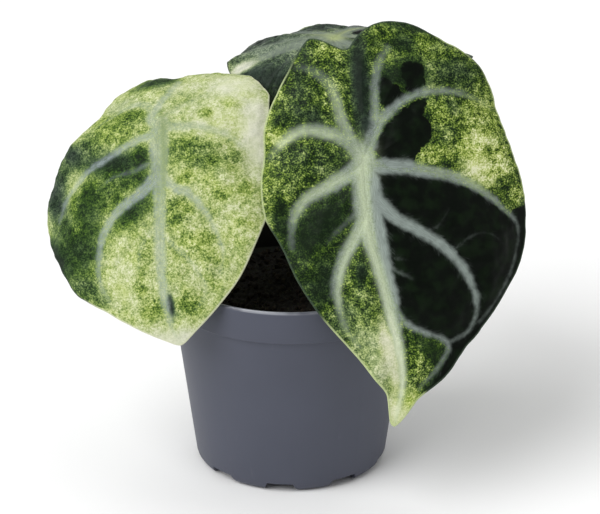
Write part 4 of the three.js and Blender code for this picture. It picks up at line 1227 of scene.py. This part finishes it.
# Back leaf
# A smoky grey-green blade that faces away. One lobe turns down in front, and its tip hangs behind the pot.
BACK_LEAF = {
    "hub": (15.3, 28, 153.2),
    "face": 200, "tilt": 88, "roll": -45.5,
    "arch": 55, "lobe": 98, "curl_minus": 21, "curl_plus": 41,
    "bulge": 1.6, "wave": 0.8, "wave_count": 9, "wave_phase": 4, "seed": 3.0,
    "outline": [
        (0, 88), (5, 81), (14, 72), (25, 61), (35, 47), (41.5, 32), (44, 16), (44, 1), (41, -13),
        (35, -26), (26, -35.5), (15.5, -40), (7, -37.5), (0, -30), (-7, -37), (-15, -40), (-25, -36),
        (-34, -27), (-41, -14), (-45, 1), (-46, 16), (-43, 32), (-36, 47), (-26, 61), (-14, 73), (-5, 82),
    ],
    "veins": [
        (1.5, [(0, 0, 3.2, 0.85), (0.5, 22, 2.8, 0.9), (0, 44, 2.2, 0.9), (-0.5, 66, 1.4, 0.85),
               (0, 86, 0.6, 0.6)]),
        (0.6, [(0, 0, 0.5, 0.3), (0, -14, -1, 0.1), (0, -28, -2, 0.01)]),
        (0.9, [(0, 0, 1.4, 0.6), (7, -9, 0.6, 0.45), (13, -20, 0, 0.3), (17, -32, -0.2, 0.2)]),
        (1.0, [(0, 0, 3.4, 0.8), (9, -7, 3.4, 0.7), (18, -12, 2.6, 0.6), (27, -16, 1.8, 0.55),
               (34, -19, 1.2, 0.4)]),
        (1.0, [(0, 0, 3, 0.8), (12, -2, 2, 0.5), (24, -3, 1.2, 0.35), (38, -3, 0.6, 0.2)]),
        (1.1, [(0, 2, 2.6, 0.8), (12, 7, 2.2, 0.7), (24, 14, 1.7, 0.75), (34, 25, 1.2, 0.7),
               (36, 38, 0.6, 0.4)]),
        (1.1, [(0.5, 23, 2.6, 0.9), (9, 31, 2.2, 0.9), (18, 40, 1.8, 0.85), (23, 50, 1.2, 0.7),
               (20, 60, 0.6, 0.4)]),
        (0.9, [(0, 44, 1.9, 0.85), (7, 52, 1.4, 0.8), (13, 60, 1, 0.7), (14, 68, 0.5, 0.3)]),
        (0.9, [(0, 0, 2.2, 0.8), (-7, -10, 1.9, 0.8), (-12, -21, 1.4, 0.7), (-17, -31, 0.6, 0.4)]),
        (1.0, [(0, 0, 2.6, 0.9), (-12, -6, 2.1, 0.85), (-25, -8, 1.6, 0.8), (-37, -5, 0.8, 0.5)]),
        (1.1, [(0, 3, 2.6, 0.9), (-12, 8, 2.2, 0.9), (-25, 15, 1.8, 0.85), (-35, 27, 1.2, 0.7),
               (-36, 40, 0.6, 0.4)]),
        (1.1, [(0.5, 25, 2.6, 0.9), (-10, 33, 2.2, 0.9), (-19, 42, 1.8, 0.85), (-24, 52, 1.2, 0.7),
               (-20, 63, 0.6, 0.4)]),
        (0.9, [(0, 47, 1.9, 0.85), (-8, 55, 1.4, 0.8), (-14, 63, 1, 0.7), (-14, 70, 0.5, 0.3)]),
        (0.3, [(8, -10, 0.2, 0.4), (14, -15, 0, 0.4), (20, -24, -0.2, 0.3), (22, -32, -0.3, 0.2)]),
        (0.3, [(9, -14, 0, 0.4), (12, -22, -0.2, 0.35), (13, -34, -0.3, 0.2)]),
    ],
    "hearts": [
        [(-1, 1, 3.4, 0.85), (4, 3, 2.6, 0.6), (9, 2, 2, 0.2)],
        [(0, 0, 1.4, 0.6), (0.4, 22, 1.2, 0.6), (0, 44, 1, 0.5), (-0.4, 66, 0.8, 0.4)],
    ],
    "dark_sectors": [
        [(-4, 8), (-14, 12), (-26, 19), (-34, 29), (-35, 42), (-25, 55), (-21, 45), (-12, 35), (-3, 27)],
        [(4, 28), (11, 34), (19, 42), (23, 52), (19, 66), (13, 60), (7, 50), (3, 42)],
    ],
    "ground": (0.32, 0.45, 0.5),
    "washes": [
        (20, -6, 20, 9, -20, 0.4, 0.26, 1), (30, 4, 12, 6, 20, 0.18, 0.36, 0.9),
        (14, 16, 12, 5, -30, 0.14, 0.3, 0.9), (40, -12, 5, 8, 0, 0.34, 0.45, 0.5),
        (15, -29, 13, 12, 0, 0.07, 0.08, 0.7), (24, -24, 5, 4, -30, 0.1, 0.08, 0.9),
        (32.4, -18.2, 8.5, 3.4, -17, 1, 0.06, 0.9), (40, -18, 3.5, 4, 0, 0.55, 0.5, 0.3),
        (13, -30, 3, 4, 0, 0.14, 0.2, 0.2), (30.4, 10.6, 3.2, 13, 50, 0.03, 0.12, 0.6),
        (9.8, 24.8, 3.6, 15, 55, 0.04, 0.14, 0.6), (-5, -2, 3, 3, 0, 0.36, 0.1, 1),
        (35, 18, 8, 7, 0, 0.14, 0.35, 0.5), (24, 26, 9, 6, 40, 0.55, 0.5, 0.2),
        (34, 38, 7, 9, 0, 0.66, 0.4, 0.2), (-20, -18, 12, 10, 0, 0.4, 0.5, 0.3),
        (-38, 4, 8, 9, 0, 0.6, 0.5, 0.2), (-24, 3, 9, 5, 0, 0.34, 0.5, 0.2),
        (-12, 50, 8, 9, -20, 0.48, 0.5, 0.2), (-26, 56, 5, 8, -30, 0.3, 0.5, 0.2),
        (2, 76, 8, 8, 0, 0.74, 0.35, 0.3), (-8, 64, 5, 6, 0, 0.42, 0.5, 0.2),
    ],
    "dark_edges": [],
    "lifts": [(9, 15, 5, -1.2)],
}
back_palette = {
    "tissue": [
        (0.0, (16, 25, 15)), (0.14, (34, 48, 30)), (0.3, (62, 82, 44)),
        (0.48, (104, 124, 64)), (0.66, (152, 168, 100)),
        (0.84, (194, 202, 150)), (1.0, (212, 214, 192)),
    ],
    "haze": green_haze,
    "solid": ((10, 15, 11), (18, 28, 17)),
    "feather": 1.3,
    "wisps": 0.25,
    "pale_range": (0.15, 0.5),
    "silver": (120, 129, 124),
    "vein": (132, 142, 128),
    "heart": (158, 170, 112),
    "pale_heart": (164, 175, 122),
    "dark_edge": (46, 56, 48),
    "edge": (84, 96, 80),
    "edge_width": 0.9,
    "edge_range": (0.4, 0.7),
    "roughness": 0.42,
    "bump_depth": 0.1,
}
leaf_back = new_blade("back", BACK_LEAF, back_palette)
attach(leaf_back, "root")
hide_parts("leaf_back")


# Leaf stalks
# Each pale green stalk leaves the crown in an open sheath, narrows, and meets its blade's underside at a
# right angle, where it spreads into the ribs.
STALK_RING_RADIUS = 3.7
STALK_RADIUS = 2.1
STALK_BASE_SWELL = (0.9, 0.16)
STALK_TOP_SWELL = (0.9, 0.04)
STALK_SIDES = 36
STALK_RINGS = 130
STALK_CURVE_STEPS = 40
STALK_STRAIGHT_FOOT = 8
STALK_STRAIGHT_TOP = 9.6
STALK_SINK = 0.45
STALK_CREASE_DEGREES = 50
SHEATH_SHARE = 0.32
FURROW_DEPTH = 0.1
SHEATH_FURROW_DEPTH = 0.2
FURROW_SPREAD = 0.16
SHEATH_LIP_HEIGHT = 0.14
SHEATH_LIP_PLACE = 0.36
SHEATH_LIP_SPREAD = 0.12
STRIPE_SCALE_ALONG = 5.0
STRIPE_SCALE_ROUND = 34.0
STRIPE_RANGE = (0.42, 0.66)
STRIPE_GREEN = (112, 140, 76)
STALK_FLECK_SIZE = 1.1
STALK_FLECK_RANGE = (0.56, 0.7)
STALK_FLECK_STRENGTH = 0.35
STALK_FLECK_GREEN = (206, 212, 172)
STALK_BUMP_DEPTH = 0.15
STALK_GREENS = [
    (0.0, (176, 160, 132)), (0.1, (158, 170, 116)), (0.3, (146, 172, 98)),
    (0.9, (164, 186, 122)), (1.0, (188, 204, 154)),
]
STALKS = {
    "right": (RIGHT_LEAF, -45, [(14.5, 0.5, 96), (20, -9, 114)]),
    "left": (LEFT_LEAF, 195, [(3.5, 5.5, 97), (-8, 9.5, 113), (-26, 11.5, 122.5)]),
    "back": (BACK_LEAF, 75, [(11, 12, 100), (14, 22, 124)]),
}


# The stalk's middle line, as a curve whose speed follows the square root of the points' spacing
def stalk_line(leaf, leaves_at, through):
    angle = math.radians(leaves_at)
    normal = blade_axes(leaf)[2]
    outward = np.array([math.cos(angle), math.sin(angle), 0])
    foot = np.array([CROWN_X, CROWN_Y, CROWN_TOP]) + outward * STALK_RING_RADIUS
    end = np.array(leaf["hub"]) - normal * STALK_SINK
    upright = foot + (0, 0, STALK_STRAIGHT_FOOT)
    points = extended(np.array([foot, upright, *through, end - normal * STALK_STRAIGHT_TOP, end]))
    line = []
    for p0, p1, p2, p3 in zip(points[:-3], points[1:-2], points[2:-1], points[3:]):
        d0, d1, d2 = (math.sqrt(np.linalg.norm(b - a)) for a, b in ((p0, p1), (p1, p2), (p2, p3)))
        leave = ((p1 - p0) / d0 - (p2 - p0) / (d0 + d1) + (p2 - p1) / d1) * d1
        arrive = ((p2 - p1) / d1 - (p3 - p1) / (d1 + d2) + (p3 - p2) / d2) * d1
        for t in np.linspace(0, 1, STALK_CURVE_STEPS, endpoint=False):
            line.append(curve_point(p1, leave, p2, arrive, t))
    return points_along(np.array([*line, end]), np.linspace(0, 1, STALK_RINGS + 1))


def stalk_mesh(name, line, sheath_turn):
    tangents = np.gradient(line, axis=0)
    tangents /= np.linalg.norm(tangents, axis=1)[:, None]
    side = unit(np.cross(tangents[0], (math.sin(sheath_turn), -math.cos(sheath_turn), 0)))
    points = []
    for i, (centre, tangent) in enumerate(zip(line, tangents)):
        side = unit(side - tangent * (side @ tangent))
        other = np.cross(tangent, side)
        share = i / STALK_RINGS
        radius = STALK_RADIUS + STALK_BASE_SWELL[0] * bell(share, STALK_BASE_SWELL[1])
        radius += STALK_TOP_SWELL[0] * bell(1 - share, STALK_TOP_SWELL[1])
        sheath = max(0.0, 1 - (share / SHEATH_SHARE) ** 2)
        for angle in angles_round(STALK_SIDES):
            aside = abs(math.sin(angle / 2))
            furrow = (FURROW_DEPTH + SHEATH_FURROW_DEPTH * sheath) * bell(aside, FURROW_SPREAD)
            lip = SHEATH_LIP_HEIGHT * sheath * bell(aside - SHEATH_LIP_PLACE, SHEATH_LIP_SPREAD)
            out = radius * (1 - furrow + lip)
            points.append(centre + side * out * math.cos(angle) + other * out * math.sin(angle))
    points += [line[0], line[-1]]
    mesh = new_mesh(name, points, ring_faces(STALK_RINGS + 1, STALK_SIDES))
    shade_smooth(mesh, STALK_CREASE_DEGREES)
    shares = np.append(np.repeat(np.linspace(0, 1, STALK_RINGS + 1), STALK_SIDES), [0, 1])
    angles = np.append(np.tile(np.arange(STALK_SIDES) / STALK_SIDES, STALK_RINGS + 1), [0, 0])
    add_attribute(mesh, "share", "FLOAT", shares)
    add_attribute(mesh, "turn", "FLOAT", np.abs(angles - 0.5))
    return mesh


stalk_skin, tree, shader = new_material("stalk_skin", Roughness=0.42, Specular_IOR_Level=0.45)
share = read_attribute(tree, "share")
along = calculate(tree, "MULTIPLY", share, STRIPE_SCALE_ALONG)
across = calculate(tree, "MULTIPLY", read_attribute(tree, "turn"), STRIPE_SCALE_ROUND)
stripe_place = add_node(tree, "ShaderNodeCombineXYZ", {0: along, 1: across}).outputs[0]
stripes = noise_value(tree, stripe_place, 1.0, detail=3, roughness=0.6)
flecks = smooth_step(tree, noise_value(tree, object_place(tree), STALK_FLECK_SIZE * MM), *STALK_FLECK_RANGE)
fleck_cover = calculate(tree, "MULTIPLY", flecks, STALK_FLECK_STRENGTH)
green = colour_ramp(tree, share, STALK_GREENS)
green = mix_colours(tree, smooth_step(tree, stripes, *STRIPE_RANGE), green, STRIPE_GREEN)
green = mix_colours(tree, fleck_cover, green, STALK_FLECK_GREEN)
tree.links.new(green, shader["Base Color"])
add_bump(tree, shader, stripes, strength=0.3, depth=STALK_BUMP_DEPTH)

for side_name, (leaf, leaves_at, through) in STALKS.items():
    name = f"leaf_stalk_{side_name}"
    line = stalk_line(leaf, leaves_at, through)
    stalk = new_object(name, stalk_mesh(name, line, math.radians(leaves_at)), stalk_skin)
    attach(stalk, "root")
    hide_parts(f"petiole_{side_name}")


# Studio
# A plain pale floor under broad soft light: the strongest from high on the left in front, a weaker one
# from the right and one from above, in a dim even surround.
FLOOR_SIZE = 8000
PAPER_CLOUD_SIZE = 300
PAPER_WHITES = [(247, 247, 247), (251, 251, 251)]
IMAGE_WIDTH = 600
SENSOR_WIDTH = 36
CAMERA_TARGET = (3.3, 0, 78.5)
CAMERA_DISTANCE = 1150
CAMERA_ELEVATION = 22.8
MM_PER_PIXEL = 0.365
LAMPS = [
    ("key_lamp", (-0.75, -0.55, 0.9), 50, 2.5),
    ("fill_lamp", (1, -0.35, 0.5), 70, 0.5),
    ("top_lamp", (0, 0.5, 1), 60, 0.9),
]
SURROUND_STRENGTH = 0.3

half = FLOOR_SIZE / 2
floor_corners = [(-half, -half, 0), (half, -half, 0), (half, half, 0), (-half, half, 0)]
floor_paint, tree, shader = new_material("pale_floor", Roughness=0.7, Specular_IOR_Level=0.2)
paper_clouds = noise_value(tree, object_place(tree), PAPER_CLOUD_SIZE * MM)
tree.links.new(mix_colours(tree, paper_clouds, *PAPER_WHITES), shader["Base Color"])
floor = new_object("floor", new_mesh("floor", floor_corners, [(0, 1, 2, 3)]), floor_paint)

for name, shines_from, spread, strength in LAMPS:
    light = bpy.data.lights.new(name, "SUN")
    light.angle = math.radians(spread)
    light.energy = strength
    lamp = bpy.data.objects.new(name, light)
    lamp.rotation_euler = Vector(shines_from).to_track_quat("Z", "Y").to_euler()
    bpy.context.scene.collection.objects.link(lamp)

world = bpy.data.worlds.new("studio")
world.use_nodes = True
world.node_tree.nodes["Background"].inputs["Color"].default_value = (1, 1, 1, 1)
world.node_tree.nodes["Background"].inputs["Strength"].default_value = SURROUND_STRENGTH
bpy.context.scene.world = world
bpy.context.scene.view_settings.view_transform = "Standard"

target = Vector(CAMERA_TARGET) * MM
tilt = math.radians(CAMERA_ELEVATION)
camera = bpy.data.objects.new("camera", bpy.data.cameras.new("camera"))
camera.data.sensor_width = SENSOR_WIDTH
camera.data.lens = SENSOR_WIDTH * CAMERA_DISTANCE / (IMAGE_WIDTH * MM_PER_PIXEL)
camera.location = target + Vector((0, -math.cos(tilt), math.sin(tilt))) * CAMERA_DISTANCE * MM
camera.rotation_euler = (target - camera.location).to_track_quat("-Z", "Y").to_euler()
bpy.context.scene.collection.objects.link(camera)
bpy.context.scene.camera = camera
